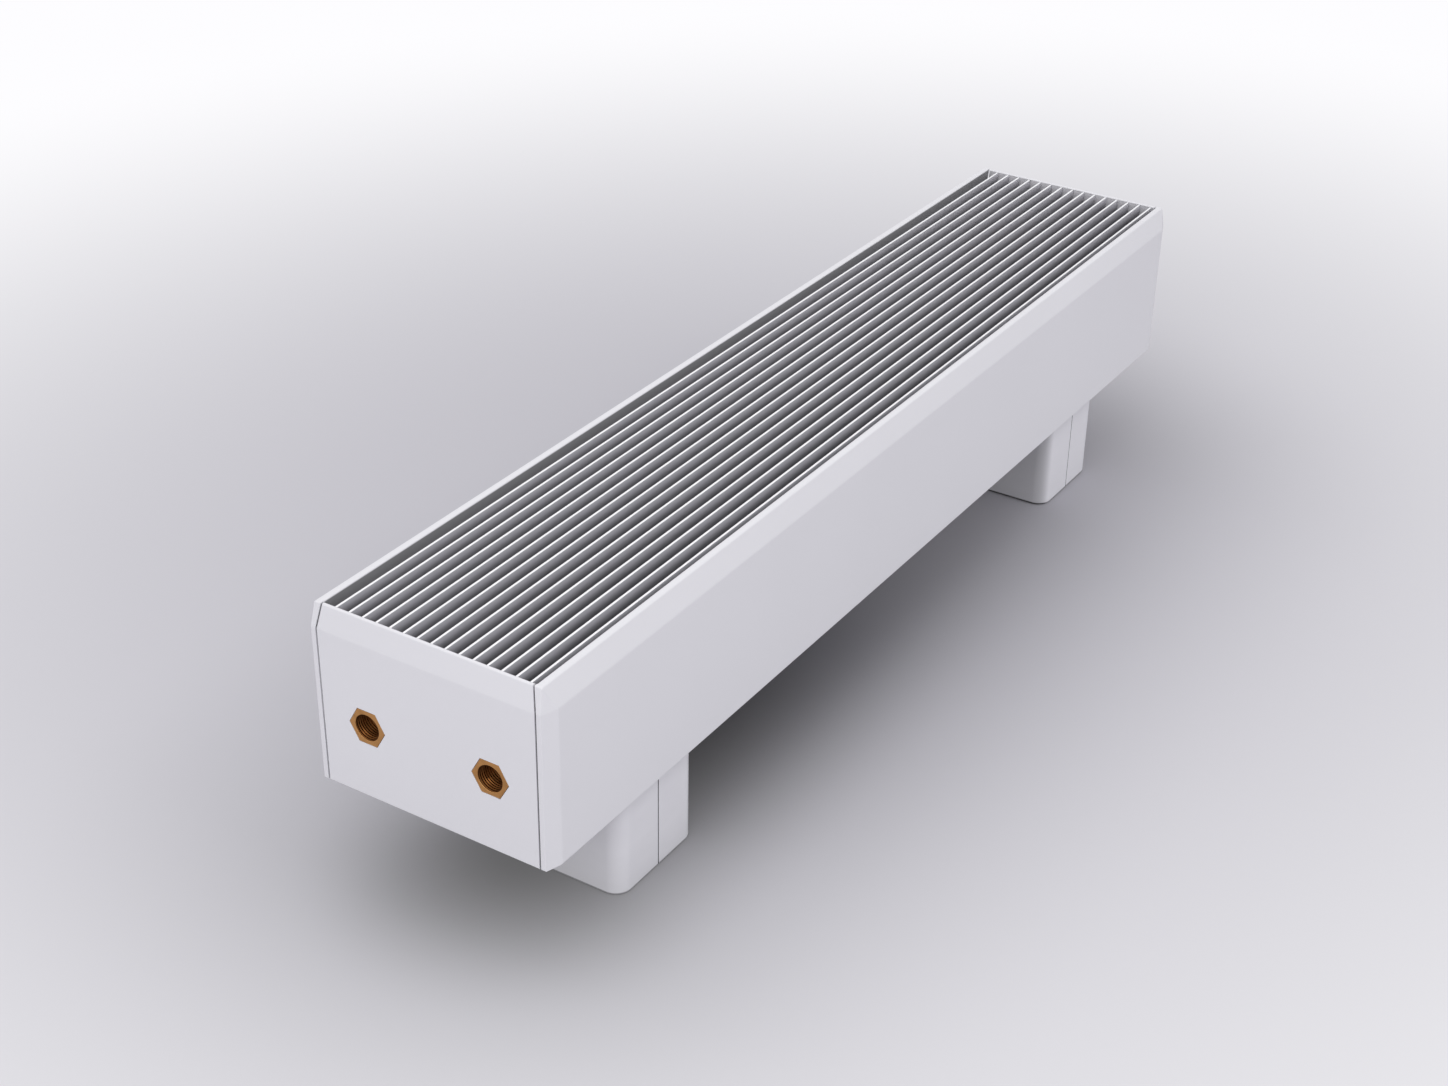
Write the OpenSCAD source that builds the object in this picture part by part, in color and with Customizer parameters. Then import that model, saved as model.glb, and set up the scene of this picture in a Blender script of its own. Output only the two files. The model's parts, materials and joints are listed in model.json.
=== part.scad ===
// Freestanding convector radiator: a long bevelled steel casing on two covered feet,
// with a slatted outlet grille on top and a finned copper exchanger inside.
// Millimetres. X runs along the casing with the pipe connections at its low end,
// the front faces low Y and Z is up. The origin is on the floor under the middle.

/* [Casing] */
// Length of the casing between its end faces
casing_l = 900; // [720:10:1200]
// Depth of the casing between its long faces
casing_w = 182; // [172:1:220]
// Height of the casing without its feet
casing_h = 130; // [124:1:160]
// Height of the casing's underside above the floor
foot_h = 90; // [70:1:140]
// Thickness of the casing's steel sheet
sheet_t = 1.25; // [1:0.05:1.5]
// Height of the bevel round the top
bevel_h = 17; // [14:0.5:20]
// Lean of the bevel along the long sides
side_bevel = 5.5; // [4:0.1:7]
// Lean of the bevel over the end panels
end_bevel = 3.5; // [2.5:0.1:4.5]
// Length of each upright corner facet along the casing
corner_l = 12; // [9:0.5:18]
// Depth of each upright corner facet across the casing
corner_w = 4; // [2:0.1:5]
// Width of the flat lip along each long side of the outlet
side_lip = 5; // [3:0.1:6]
// How far a long panel returns over the end face
return_w = 3.5; // [2.5:0.1:5]
// Gap of the seam between a long panel and an end panel
seam_gap = 1.2; // [0.8:0.1:1.6]
// Width of the long panels' bottom flange
flange_w = 15; // [12:0.5:18]

/* [Grille] */
// Height of a slat
slat_h = 18; // [14:0.5:22]
// Thickness of a slat
slat_t = 1.6; // [1.2:0.1:2.5]
// Distance between the middles of neighbouring slats
slat_pitch = 10.5; // [9:0.1:14]
// Distance from the outlet's front edge to the middle of the first slat
first_slat = 4.6; // [2.6:0.1:6]
// Depth of the slats' tops below the casing's top
slat_drop = 1; // [0:0.1:2]
// Diameter of the cross rods
rod_d = 5; // [4:0.1:6]
// Distance between the cross rods
rod_pitch = 200; // [120:5:260]
// Width of the ledge that carries the grille
ledge_w = 12; // [11.5:0.5:14]

/* [Heat exchanger] */
// Height of the connection axes above the casing's underside
connection_h = 53; // [50:1:56]
// Distance between the supply axis and the return axis
connection_gap = 95; // [80:1:105]
// Height between the two tubes of a pair
tube_rise = 32; // [28:1:36]
// Outer diameter of the copper tubes
tube_d = 15; // [12:0.5:16]
// Wall of the copper tubes
tube_wall = 0.8; // [0.6:0.1:1.2]
// Width of a fin
fin_w = 140; // [130:1:150]
// Height of a fin
fin_h = 60; // [56:1:64]
// Thickness of a fin
fin_t = 0.4; // [0.3:0.05:0.8]
// Distance between neighbouring fins
fin_pitch = 10; // [6:0.5:14]
// Width across the flats of the headers' hexagonal nose
socket_af = 24; // [22:0.5:27]
// Diameter inside the headers' pipe thread
socket_d = 18.6; // [17:0.1:19.5]
// Depth of the headers' pipe thread
socket_depth = 15; // [12:0.5:18]

/* [Feet] */
// Distance from the casing's low X end face to the middle of the foot there
foot_inset_low = 138; // [125:1:180]
// Distance from the casing's high X end face to the middle of the foot there
foot_inset_high = 130; // [125:1:180]
// Length of a foot along the casing
foot_l = 88; // [80:1:94]
// Depth of a foot across the casing
foot_w = 150; // [146:1:156]
// Radius of a foot's upright corners
foot_r = 12; // [8:0.5:14]
// Wall of the foot covers
cover_t = 2; // [1.5:0.1:2.5]
// Width of the seam between two cover halves
cover_seam = 0.8; // [0.4:0.1:1.2]
// Length of a foot's base plate along the casing
base_l = 66; // [60:1:68]
// Depth of a foot's base plate across the casing
base_w = 130; // [120:1:136]
// Distance from a base plate's short edges to its floor anchor holes
anchor_edge_l = 11; // [9:0.5:12]
// Distance from a base plate's long edges to its floor anchor holes
anchor_edge_w = 15; // [9:0.5:20]
// Diameter of the floor anchor holes
anchor_d = 9; // [7:0.5:10]

/* [Hidden] */
// Smoothness of round faces
$fn = 48;
// Overrun of a cut past the face it opens
overrun = 1;
// Play between pieces that slide on or through each other
fit = 0.05;
// Play between pieces that lie side by side
play = 0.1;
// Gap left under the grille, which rests by its own weight
seat_gap = 0.2;

// Main planes of the casing
half_l = casing_l / 2;
half_w = casing_w / 2;
top_z = foot_h + casing_h;
shoulder_z = top_z - bevel_h;
inner_z = foot_h + sheet_t;
end_lip = 2 * sheet_t;
outlet_x = half_l - end_bevel - end_lip;
outlet_y = half_w - side_bevel - side_lip;
seam_y = half_w - corner_w - return_w;

// Folds of the casing's panels
hem_h = 12;
return_flange_w = 11;
end_flange_w = 13;
ledge_lip_h = 5;

// Grille
slat_top = top_z - slat_drop;
slat_bottom = slat_top - slat_h;
slat_end_play = 0.5;
slat_half_l = outlet_x - slat_end_play;
slat_edge = 0.3;
slat_count = floor((2 * outlet_y - first_slat - slat_t / 2 - seat_gap) / slat_pitch) + 1;
slat_y = [for (i = [0 : slat_count - 1]) -outlet_y + first_slat + i * slat_pitch];
rod_rise = 4;
rod_z = slat_bottom + rod_rise;
rod_edge = 20;
rod_count = floor(2 * (slat_half_l - rod_edge) / rod_pitch) + 1;
rod_x = [for (i = [0 : rod_count - 1]) (i - (rod_count - 1) / 2) * rod_pitch];
rod_end_play = 0.3;
spacer_wall = 0.7;
strip_t = 0.8;
strip_edge = 1;
ledge_top = slat_bottom - seat_gap - strip_t;

// End frames
frame_t = 1.5;
frame_x = half_l - sheet_t - frame_t;
frame_half_w = seam_y - play;
frame_head_gap = 5;
frame_top = ledge_top - frame_head_gap;
frame_side_w = 15;
frame_foot_w = 24;
frame_head_w = 10;
hex_play = 0.25;

// Cross yokes
yoke_l = 60;
yoke_t = 2;
yoke_half_w = half_w - sheet_t - play;
yoke_arm_l = 30;
yoke_tab_w = 14;
saddle_w = 110;
foot_x = [foot_inset_low - half_l, half_l - foot_inset_high];
yoke_x = [foot_x[0], 0, foot_x[1]];
yoke_top = ledge_top - sheet_t;

// Casing screws
screw_d = 4;
screw_l = 8;
screw_head_d = 8;
screw_head_h = 2.4;
screw_socket_af = 2.5;
screw_socket_h = 1.4;
screw_edge = 7;
yoke_screw_step = 4.5;
panel_screw_margin = 50;
yoke_screw_x = 22;
frame_screw_inset = 15;
frame_screw_x = half_l - frame_screw_inset;
frame_screw_y = half_w - screw_edge - yoke_screw_step;
panel_screw_inset = 8;
panel_screw_x = half_l - panel_screw_inset;
panel_screw_y = half_w - panel_screw_margin;
panel_screws = concat(
    [for (x = yoke_x, s = [-1, 1], y = [-1, 1]) [x + s * yoke_screw_x, y * (half_w - screw_edge)]],
    [for (s = [-1, 1], y = [-1, 1]) [s * frame_screw_x, y * frame_screw_y]]);
end_panel_screws = [for (s = [-1, 1], y = [-1, 1]) [s * panel_screw_x, y * panel_screw_y]];

// Heat exchanger
axis_z = foot_h + connection_h;
axis_y = connection_gap / 2;
tube_levels = [axis_z - tube_rise / 2, axis_z + tube_rise / 2];
fin_bottom = axis_z - fin_h / 2;
fin_start_inset = 55;
fin_end_inset = 90;
fin_count = floor((casing_l - fin_start_inset - fin_end_inset - fin_t) / fin_pitch) + 1;
fin_x0 = -half_l + fin_start_inset;
fin_x1 = fin_x0 + (fin_count - 1) * fin_pitch + fin_t;
collar_t = 0.4;
guard_t = 1.2;
guard_lip = 8;
pad_t = 2;
pad_grip = 6;
bend_gap = 12;
cup_wall = 0.8;
cup_l = 10;
bend_x = half_l - bend_gap - axis_y - tube_d / 2;

// Headers
nose_l = 14;
flange_r = 15;
flange_t = 3;
manifold_r = 11;
manifold_wall = 3;
manifold_inset = 27;
manifold_x = manifold_inset - half_l;
manifold_over = 12;
manifold_half_h = tube_rise / 2 + manifold_over;
passage_r = 6.5;
header_cup_l = 11;
header_cup_wall = 1.8;
boss_r = 7;
boss_h = 4;
port_d = 9.8;
port_l = 8;
plug_af = 14;
plug_h = 5;
vent_hex_h = 6;
vent_neck_r = 5;
vent_neck_h = 6;
vent_nozzle_r = 2;
vent_nozzle_l = 9;
spindle_d = 5.9;
spindle_l = 9;
spindle_square = 4;
spindle_rise = 4;

// Feet
pad_floor_t = 2;
base_t = 5;
head_t = 4;
head_w = 120;
post_l = 40;
post_w = 60;
post_t = 3;
bolt_x = 20;
bolt_y = 45;
bolt_d = 8;
bolt_hole_d = 9;
bolt_af = 13;
bolt_head_h = 5.3;
bolt_l = 16;
nut_h = 6.5;
cover_gap = 0.5;
cover_rim_w = 4;
cover_rim_t = 2;
rib_t = 2;
rib_z = 30;
rib_h = 30;
clip_t = 0.8;
clip_w = 14;
clip_h = 20;
clip_l = 14;
clip_play = 0.3;

// Colours
white = [0.85, 0.85, 0.87];
zinc = [0.62, 0.64, 0.66];
aluminium = [0.75, 0.76, 0.78];
copper = [0.75, 0.45, 0.3];
brass = [0.74, 0.54, 0.3];
rubber = [0.15, 0.15, 0.16];
steel = [0.7, 0.71, 0.72];

// A profile drawn in Y and Z, pushed along X
module along_x(x0, x1) {
    translate([x0, 0, 0]) rotate([90, 0, 90]) linear_extrude(x1 - x0) children();
}

// A profile drawn in X and Z, pushed along Y
module along_y(y0, y1) {
    translate([0, y1, 0]) rotate([90, 0, 0]) linear_extrude(y1 - y0) children();
}

// A round bar along X
module bar_x(x0, x1, y, z, r) {
    along_x(x0, x1) translate([y, z]) circle(r);
}

// A block between two corners
module block(low, high) {
    translate(low) cube(high - low);
}

// A hexagon with two flats level, by its width across the flats
module hexagon(af) {
    circle(af / sqrt(3), $fn = 6);
}

// The casing's plan below its bevel, drawn in by an inset
function plan(inset) = let (x = half_l - inset, y = half_w - inset) [
    [x - corner_l, -y], [x, corner_w - y], [x, y - corner_w], [x - corner_l, y],
    [corner_l - x, y], [-x, y - corner_w], [-x, corner_w - y], [corner_l - x, -y]];

// The casing's plan at a height in its bevel, where the corners are square
function head_plan(inset, z) = let (
    rise_share = (z - shoulder_z) / bevel_h,
    x = half_l - inset - end_bevel * rise_share,
    y = half_w - inset - side_bevel * rise_share)
    [[x, -y], [x, y], [-x, y], [-x, -y]];

// The casing's outer form, or its hollow: facets upright to the shoulder, then leaning in
// to a square-cornered head, with one triangle over each upright corner facet
module casing_form(inset, low, high) {
    ring = plan(inset);
    head = head_plan(inset, high);
    polyhedron(
        points = concat(
            [for (p = ring) [p.x, p.y, low]],
            [for (p = ring) [p.x, p.y, shoulder_z]],
            [for (p = head) [p.x, p.y, high]]),
        faces = concat(
            [[for (i = [0 : 7]) i]],
            [for (i = [0 : 7]) [i, i + 8, (i + 1) % 8 + 8, (i + 1) % 8]],
            [for (i = [0 : 3]) [8 + 2 * i, 16 + i, 9 + 2 * i]],
            [for (i = [0 : 3]) [9 + 2 * i, 16 + i, 16 + (i + 1) % 4, 8 + (2 * i + 2) % 8]],
            [[19, 18, 17, 16]]));
}

// The whole skin of the casing, open below and at the outlet
module casing_skin() {
    difference() {
        casing_form(0, foot_h, top_z);
        casing_form(sheet_t, foot_h - overrun, top_z - sheet_t);
        block([-outlet_x, -outlet_y, top_z - sheet_t - overrun], [outlet_x, outlet_y, top_z + overrun]);
    }
}

// Screw holes up through the casing's flanges and the brackets on them
module screw_holes(places) {
    for (p = places)
        translate([p.x, p.y, foot_h - overrun]) cylinder(d = screw_d + 2 * play, h = screw_l);
}

// The front panel: face, end returns, bevel, lip, down-turn, grille ledge and flanges
module long_panel() {
    difference() {
        union() {
            intersection() {
                casing_skin();
                along_x(-half_l - overrun, half_l + overrun) polygon([
                    [-half_w - overrun, foot_h - overrun], [-seam_y, foot_h - overrun], [-seam_y, shoulder_z],
                    [-outlet_y, top_z], [-outlet_y, top_z + overrun], [-half_w - overrun, top_z + overrun]]);
            }
            // Down-turn at the outlet with the ledge that carries the grille
            along_x(-outlet_x, outlet_x) polygon([
                [-outlet_y - sheet_t, top_z], [-outlet_y, top_z], [-outlet_y, ledge_top],
                [-outlet_y + ledge_w, ledge_top], [-outlet_y + ledge_w, ledge_top - ledge_lip_h],
                [-outlet_y + ledge_w - sheet_t, ledge_top - ledge_lip_h],
                [-outlet_y + ledge_w - sheet_t, ledge_top - sheet_t], [-outlet_y - sheet_t, ledge_top - sheet_t]]);
            // Bottom flange, notched for the end panels
            translate([0, 0, foot_h]) linear_extrude(sheet_t) intersection() {
                polygon(plan(sheet_t / 2));
                union() {
                    translate([-half_l, -half_w]) square([casing_l, half_w - seam_y]);
                    translate([sheet_t - half_l, -half_w]) square([casing_l - 2 * sheet_t, flange_w]);
                }
            }
            // Flanges folded in at the end returns
            for (s = [0, 1]) mirror([s, 0, 0])
                block([sheet_t / 2 - half_l, -seam_y - sheet_t, foot_h],
                      [return_flange_w - half_l, -seam_y, shoulder_z]);
        }
        screw_holes(panel_screws);
    }
}

// The skin of one end between the long panels' returns, with a hemmed head and a bottom flange
module end_panel() {
    difference() {
        union() {
            intersection() {
                casing_skin();
                along_x(-half_l - overrun, -outlet_x) polygon([
                    [seam_gap - seam_y, foot_h - overrun], [seam_y - seam_gap, foot_h - overrun],
                    [seam_y - seam_gap, shoulder_z], [outlet_y - seam_gap, top_z],
                    [outlet_y - seam_gap, top_z + overrun], [seam_gap - outlet_y, top_z + overrun],
                    [seam_gap - outlet_y, top_z], [seam_gap - seam_y, shoulder_z]]);
            }
            // Hem, folded down inside the bevel
            along_y(seam_gap - outlet_y, outlet_y - seam_gap) polygon([
                [-outlet_x - end_lip + sheet_t / 2, top_z], [-outlet_x, top_z],
                [-outlet_x - end_bevel * hem_h / bevel_h, top_z - hem_h],
                [-outlet_x - end_lip + sheet_t / 2 - end_bevel * hem_h / bevel_h, top_z - hem_h]]);
            // Bottom flange between the long panels' flanges
            block([sheet_t / 2 - half_l, flange_w + overrun - half_w, foot_h],
                  [end_flange_w - half_l, half_w - flange_w - overrun, inner_z]);
        }
        screw_holes(end_panel_screws);
    }
}

// Hexagonal cut-outs for the two header noses
module nose_cuts() {
    for (y = [-axis_y, axis_y])
        along_x(-half_l - overrun, overrun - frame_x) translate([y, axis_z]) hexagon(socket_af + 2 * hex_play);
}

// The frame behind an end panel, folded from one sheet
module end_frame() {
    difference() {
        union() {
            block([-frame_x - frame_t, -frame_half_w, inner_z], [-frame_x, frame_half_w, frame_top]);
            for (s = [0, 1]) mirror([0, s, 0])
                block([-frame_x - frame_t, frame_half_w - frame_t, inner_z],
                      [frame_side_w - frame_x, frame_half_w, frame_top]);
            block([-frame_x - frame_t, -frame_half_w, inner_z],
                  [frame_foot_w - frame_x, frame_half_w, inner_z + frame_t]);
            block([-frame_x - frame_t, -frame_half_w, frame_top - frame_t],
                  [frame_head_w - frame_x, frame_half_w, frame_top]);
        }
        screw_holes(panel_screws);
        screw_holes(end_panel_screws);
    }
}

// A yoke across the casing: base, two arms with tabs under the ledges, and two saddle flanges
module yoke(x, with_foot) {
    difference() {
        translate([x, 0, 0]) {
            block([-yoke_l / 2, -yoke_half_w, inner_z], [yoke_l / 2, yoke_half_w, inner_z + yoke_t]);
            for (s = [0, 1]) mirror([0, s, 0]) {
                block([-yoke_arm_l / 2, yoke_half_w - yoke_t, inner_z], [yoke_arm_l / 2, yoke_half_w, yoke_top]);
                block([-yoke_arm_l / 2, yoke_half_w - yoke_tab_w, yoke_top - yoke_t],
                      [yoke_arm_l / 2, yoke_half_w, yoke_top]);
            }
            for (s = [0, 1]) mirror([s, 0, 0])
                block([yoke_l / 2 - yoke_t, -saddle_w / 2, inner_z], [yoke_l / 2, saddle_w / 2, fin_bottom - pad_t]);
        }
        screw_holes(panel_screws);
        if (with_foot) bolt_places(x) translate([0, 0, inner_z - overrun])
            cylinder(d = bolt_hole_d, h = yoke_t + 2 * overrun);
    }
}

// Pan-head screws, driven up from below
module casing_screw() {
    difference() {
        union() {
            translate([0, 0, -screw_head_h]) cylinder(d = screw_head_d, h = screw_head_h);
            cylinder(d = screw_d, h = screw_l);
        }
        translate([0, 0, -screw_head_h - overrun]) linear_extrude(screw_socket_h + overrun) hexagon(screw_socket_af);
    }
}

// One bar along X at each of the four tubes
module at_tubes(x0, x1, r) {
    for (y = [-axis_y, axis_y], z = tube_levels) bar_x(x0, x1, y, z, r);
}

// Fins and the drawn collars that space them
module fins() {
    difference() {
        union() {
            for (i = [0 : fin_count - 1])
                translate([fin_x0 + i * fin_pitch, -fin_w / 2, fin_bottom]) cube([fin_t, fin_w, fin_h]);
            at_tubes(fin_x0, fin_x1, tube_d / 2 + fit + collar_t);
        }
        at_tubes(fin_x0 - overrun, fin_x1 + overrun, tube_d / 2 + fit);
    }
}

// A guard plate against the outermost fin, its edges folded outwards
module guard_plate() {
    difference() {
        union() {
            block([fin_x0 - guard_t, -fin_w / 2, fin_bottom], [fin_x0, fin_w / 2, fin_bottom + fin_h]);
            for (z = [fin_bottom, fin_bottom + fin_h - guard_t])
                block([fin_x0 - guard_lip, -fin_w / 2, z], [fin_x0, fin_w / 2, z + guard_t]);
        }
        at_tubes(fin_x0 - guard_lip, fin_x0 + overrun, tube_d / 2 + fit);
    }
}

// Straight tubes from the headers' cups to the bends' cups
module tubes() {
    difference() {
        at_tubes(manifold_x + manifold_r + seat_gap, bend_x - seat_gap, tube_d / 2);
        at_tubes(manifold_x, bend_x + overrun, tube_d / 2 - tube_wall);
    }
}

// A bend that joins a supply tube to a return tube, with a solder cup at each end
module return_bend(z) {
    cup_r = tube_d / 2 + fit;
    intersection() {
        translate([bend_x, 0, z]) rotate_extrude() translate([axis_y, 0]) difference() {
            circle(tube_d / 2);
            circle(tube_d / 2 - tube_wall);
        }
        block([bend_x, -half_w, foot_h], [half_l, half_w, top_z]);
    }
    for (y = [-axis_y, axis_y]) difference() {
        bar_x(bend_x - cup_l, bend_x + cup_wall, y, z, cup_r + cup_wall);
        bar_x(bend_x - cup_l - overrun, bend_x, y, z, cup_r);
        bar_x(bend_x - overrun, bend_x + cup_wall + overrun, y, z, tube_d / 2 - tube_wall);
    }
}

// A header: hexagonal nose with its thread, upright manifold and two tube cups.
// The boss for its vent or drain stands on the side given by up, 1 above or -1 below.
module header(y, up) {
    difference() {
        union() {
            along_x(-half_l, nose_l - half_l) translate([y, axis_z]) hexagon(socket_af);
            bar_x(-frame_x, flange_t - frame_x, y, axis_z, flange_r);
            bar_x(-frame_x, manifold_x, y, axis_z, manifold_r);
            translate([manifold_x, y, axis_z - manifold_half_h]) cylinder(r = manifold_r, h = 2 * manifold_half_h);
            for (z = tube_levels)
                bar_x(manifold_x, manifold_x + manifold_r + header_cup_l, y, z, tube_d / 2 + header_cup_wall);
            translate([manifold_x, y, axis_z]) mirror([0, 0, (1 - up) / 2])
                cylinder(r = boss_r, h = manifold_half_h + boss_h);
        }
        bar_x(-half_l - overrun, socket_depth - half_l, y, axis_z, socket_d / 2);
        bar_x(-half_l, manifold_x, y, axis_z, passage_r);
        translate([manifold_x, y, axis_z - manifold_half_h + manifold_wall])
            cylinder(r = manifold_r - manifold_wall, h = 2 * (manifold_half_h - manifold_wall));
        for (z = tube_levels) {
            bar_x(manifold_x, manifold_x + manifold_r + overrun, y, z, passage_r);
            bar_x(manifold_x + manifold_r, manifold_x + manifold_r + header_cup_l + overrun, y, z, tube_d / 2 + fit);
        }
        translate([manifold_x, y, axis_z]) mirror([0, 0, (1 - up) / 2])
            cylinder(d = port_d + 2 * fit, h = manifold_half_h + boss_h + overrun);
    }
}

// Moves a piece drawn upwards from the origin onto the boss of a header
module on_boss(y, up) {
    translate([manifold_x, y, axis_z + up * (manifold_half_h + boss_h)]) mirror([0, 0, (1 - up) / 2]) children();
}

// Body of the manual air vent: threaded stub, hexagon, neck with the spindle's bore, nozzle
module vent_body() {
    difference() {
        union() {
            translate([0, 0, -port_l]) cylinder(d = port_d, h = port_l);
            linear_extrude(vent_hex_h) hexagon(plug_af);
            cylinder(r = vent_neck_r, h = vent_hex_h + vent_neck_h);
            translate([0, 0, vent_hex_h / 2]) rotate([0, 90, 0]) cylinder(r = vent_nozzle_r, h = vent_nozzle_l);
        }
        translate([0, 0, vent_hex_h + vent_neck_h - spindle_l - play])
            cylinder(d = spindle_d + 2 * fit, h = spindle_l + overrun);
    }
}

// The vent's spindle with the square that takes its key
module vent_spindle() {
    translate([0, 0, vent_hex_h + vent_neck_h - spindle_l]) cylinder(d = spindle_d, h = spindle_l);
    translate([-spindle_square / 2, -spindle_square / 2, vent_hex_h + vent_neck_h - spindle_l])
        cube([spindle_square, spindle_square, spindle_l + spindle_rise]);
}

// Rubber trim pushed over the top edge of a yoke's saddle flange
module saddle_trim(x) {
    difference() {
        block([x - yoke_t / 2 - pad_t, -saddle_w / 2, fin_bottom - pad_t - pad_grip],
              [x + yoke_t / 2 + pad_t, saddle_w / 2, fin_bottom]);
        block([x - yoke_t / 2, -saddle_w / 2 - overrun, fin_bottom - 2 * pad_t - pad_grip],
              [x + yoke_t / 2, saddle_w / 2 + overrun, fin_bottom - pad_t]);
    }
}

// A slat's section: upright, with its four edges broken
module slat_section() {
    w = slat_t / 2;
    polygon([
        [slat_edge - w, slat_bottom], [w - slat_edge, slat_bottom], [w, slat_bottom + slat_edge],
        [w, slat_top - slat_edge], [w - slat_edge, slat_top], [slat_edge - w, slat_top],
        [-w, slat_top - slat_edge], [-w, slat_bottom + slat_edge]]);
}

// A round bar along Y
module bar_y(x, y0, y1, r) {
    along_y(y0, y1) translate([x, rod_z]) circle(r);
}

module slats() {
    difference() {
        for (y = slat_y) translate([0, y, 0]) along_x(-slat_half_l, slat_half_l) slat_section();
        for (x = rod_x) bar_y(x, -outlet_y, outlet_y, rod_d / 2 + fit);
    }
}

// Spacer tubes on the rods: between the slats, and from the outer slats to the rods' ends
module spacers() {
    ends = concat([-outlet_y + rod_end_play - slat_t / 2], slat_y, [outlet_y - rod_end_play + slat_t / 2]);
    for (x = rod_x, i = [0 : len(ends) - 2]) difference() {
        bar_y(x, ends[i] + slat_t / 2, ends[i + 1] - slat_t / 2, rod_d / 2 + fit + spacer_wall);
        bar_y(x, ends[i] + slat_t / 2 - overrun, ends[i + 1] - slat_t / 2 + overrun, rod_d / 2 + fit);
    }
}

// Runs its children at the four bolts of a foot
module bolt_places(x) {
    for (sx = [-1, 1], sy = [-1, 1]) translate([x + sx * bolt_x, sy * bolt_y, 0]) children();
}

// Anchor holes down through a foot's base plate and pad
module anchor_holes(x) {
    for (sx = [-1, 1], sy = [-1, 1])
        translate([x + sx * (base_l / 2 - anchor_edge_l), sy * (base_w / 2 - anchor_edge_w), -overrun])
            cylinder(d = anchor_d, h = pad_floor_t + base_t + 2 * overrun);
}

// A welded foot: base plate, box-section post and head plate
module foot_post(x) {
    post_z0 = pad_floor_t + base_t;
    head_z = inner_z - head_t;
    difference() {
        union() {
            block([x - base_l / 2, -base_w / 2, pad_floor_t], [x + base_l / 2, base_w / 2, post_z0]);
            block([x - base_l / 2, -head_w / 2, head_z], [x + base_l / 2, head_w / 2, inner_z]);
            difference() {
                block([x - post_l / 2, -post_w / 2, post_z0], [x + post_l / 2, post_w / 2, head_z]);
                block([x - post_l / 2 + post_t, post_t - post_w / 2, post_z0],
                      [x + post_l / 2 - post_t, post_w / 2 - post_t, head_z]);
            }
        }
        anchor_holes(x);
        bolt_places(x) translate([0, 0, head_z - overrun]) cylinder(d = bolt_hole_d, h = head_t + 2 * overrun);
    }
}

module foot_bolt() {
    head_z = inner_z - head_t;
    translate([0, 0, head_z - bolt_head_h]) linear_extrude(bolt_head_h) hexagon(bolt_af);
    translate([0, 0, head_z - bolt_head_h]) cylinder(d = bolt_d, h = bolt_head_h + bolt_l);
}

module foot_nut() {
    translate([0, 0, inner_z + yoke_t]) linear_extrude(nut_h) difference() {
        hexagon(bolt_af);
        circle(d = bolt_d + 2 * play);
    }
}

// A rectangle with round corners, made of true arcs
module rounded(l, w, r) {
    square([l - 2 * r, w], center = true);
    square([l, w - 2 * r], center = true);
    for (x = [-1, 1], y = [-1, 1]) translate([x * (l / 2 - r), y * (w / 2 - r)]) circle(r);
}

// A ring along the foot cover's outline, from its outer face to a depth inside it
module cover_ring(depth) {
    difference() {
        rounded(foot_l, foot_w, foot_r);
        rounded(foot_l - 2 * depth, foot_w - 2 * depth, foot_r - depth / 2);
    }
}

// One half of a foot's cover, on the low X side, or on the high X side if side is 1
module cover_half(x, side) {
    edge_x = -cover_seam / 2;
    cover_top = foot_h - cover_gap;
    translate([x, 0, 0]) mirror([side, 0, 0]) {
        translate([0, 0, cover_gap]) linear_extrude(cover_top - cover_gap) intersection() {
            cover_ring(cover_t);
            translate([-foot_l / 2, -foot_w / 2]) square([foot_l / 2 + edge_x, foot_w]);
        }
        translate([0, 0, cover_top - cover_rim_t]) linear_extrude(cover_rim_t) intersection() {
            cover_ring(cover_t + cover_rim_w);
            translate([-foot_l / 2, -foot_w / 2]) square([foot_l / 2 + edge_x, foot_w]);
        }
        // Ribs that grip the spring clip on the post
        for (s = [0, 1]) mirror([0, s, 0])
            block([cover_t / 2 - foot_l / 2, clip_w / 2 + clip_play, rib_z],
                  [-post_l / 2 - clip_play, clip_w / 2 + clip_play + rib_t, rib_z + rib_h]);
    }
}

// A spring clip on a post's low X face, or on its high X face if side is 1
module cover_clip(x, side) {
    clip_z = rib_z + (rib_h - clip_h) / 2;
    translate([x, 0, clip_z]) mirror([side, 0, 0]) linear_extrude(clip_h) translate([-post_l / 2, 0]) {
        translate([-clip_t, -clip_w / 2]) square([clip_t, clip_w]);
        for (s = [0, 1]) mirror([0, s]) translate([-clip_l, clip_w / 2 - clip_t]) square([clip_l, clip_t]);
    }
}

module front_panel() {
    color(white) long_panel();
}

module back_panel() {
    color(white) mirror([0, 1, 0]) long_panel();
}

module connection_end_panel() {
    color(white) difference() {
        end_panel();
        nose_cuts();
    }
}

module blank_end_panel() {
    color(white) mirror([1, 0, 0]) end_panel();
}

module connection_end_frame() {
    color(zinc) difference() {
        end_frame();
        nose_cuts();
    }
}

module blank_end_frame() {
    color(zinc) mirror([1, 0, 0]) end_frame();
}

module foot_yoke_left() {
    color(zinc) yoke(foot_x[0], true);
}

module foot_yoke_right() {
    color(zinc) yoke(foot_x[1], true);
}

module middle_yoke() {
    color(zinc) yoke(0, false);
}

module casing_screws() {
    color(steel) for (p = concat(panel_screws, end_panel_screws)) translate([p.x, p.y, foot_h]) casing_screw();
}

module fin_pack() {
    color(aluminium) fins();
}

module exchanger_end_plates() {
    color(zinc) {
        guard_plate();
        translate([fin_x0 + fin_x1, 0, 0]) mirror([1, 0, 0]) guard_plate();
    }
}

module heating_tubes() {
    color(copper) tubes();
}

module return_bends() {
    color(copper) for (z = tube_levels) return_bend(z);
}

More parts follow.
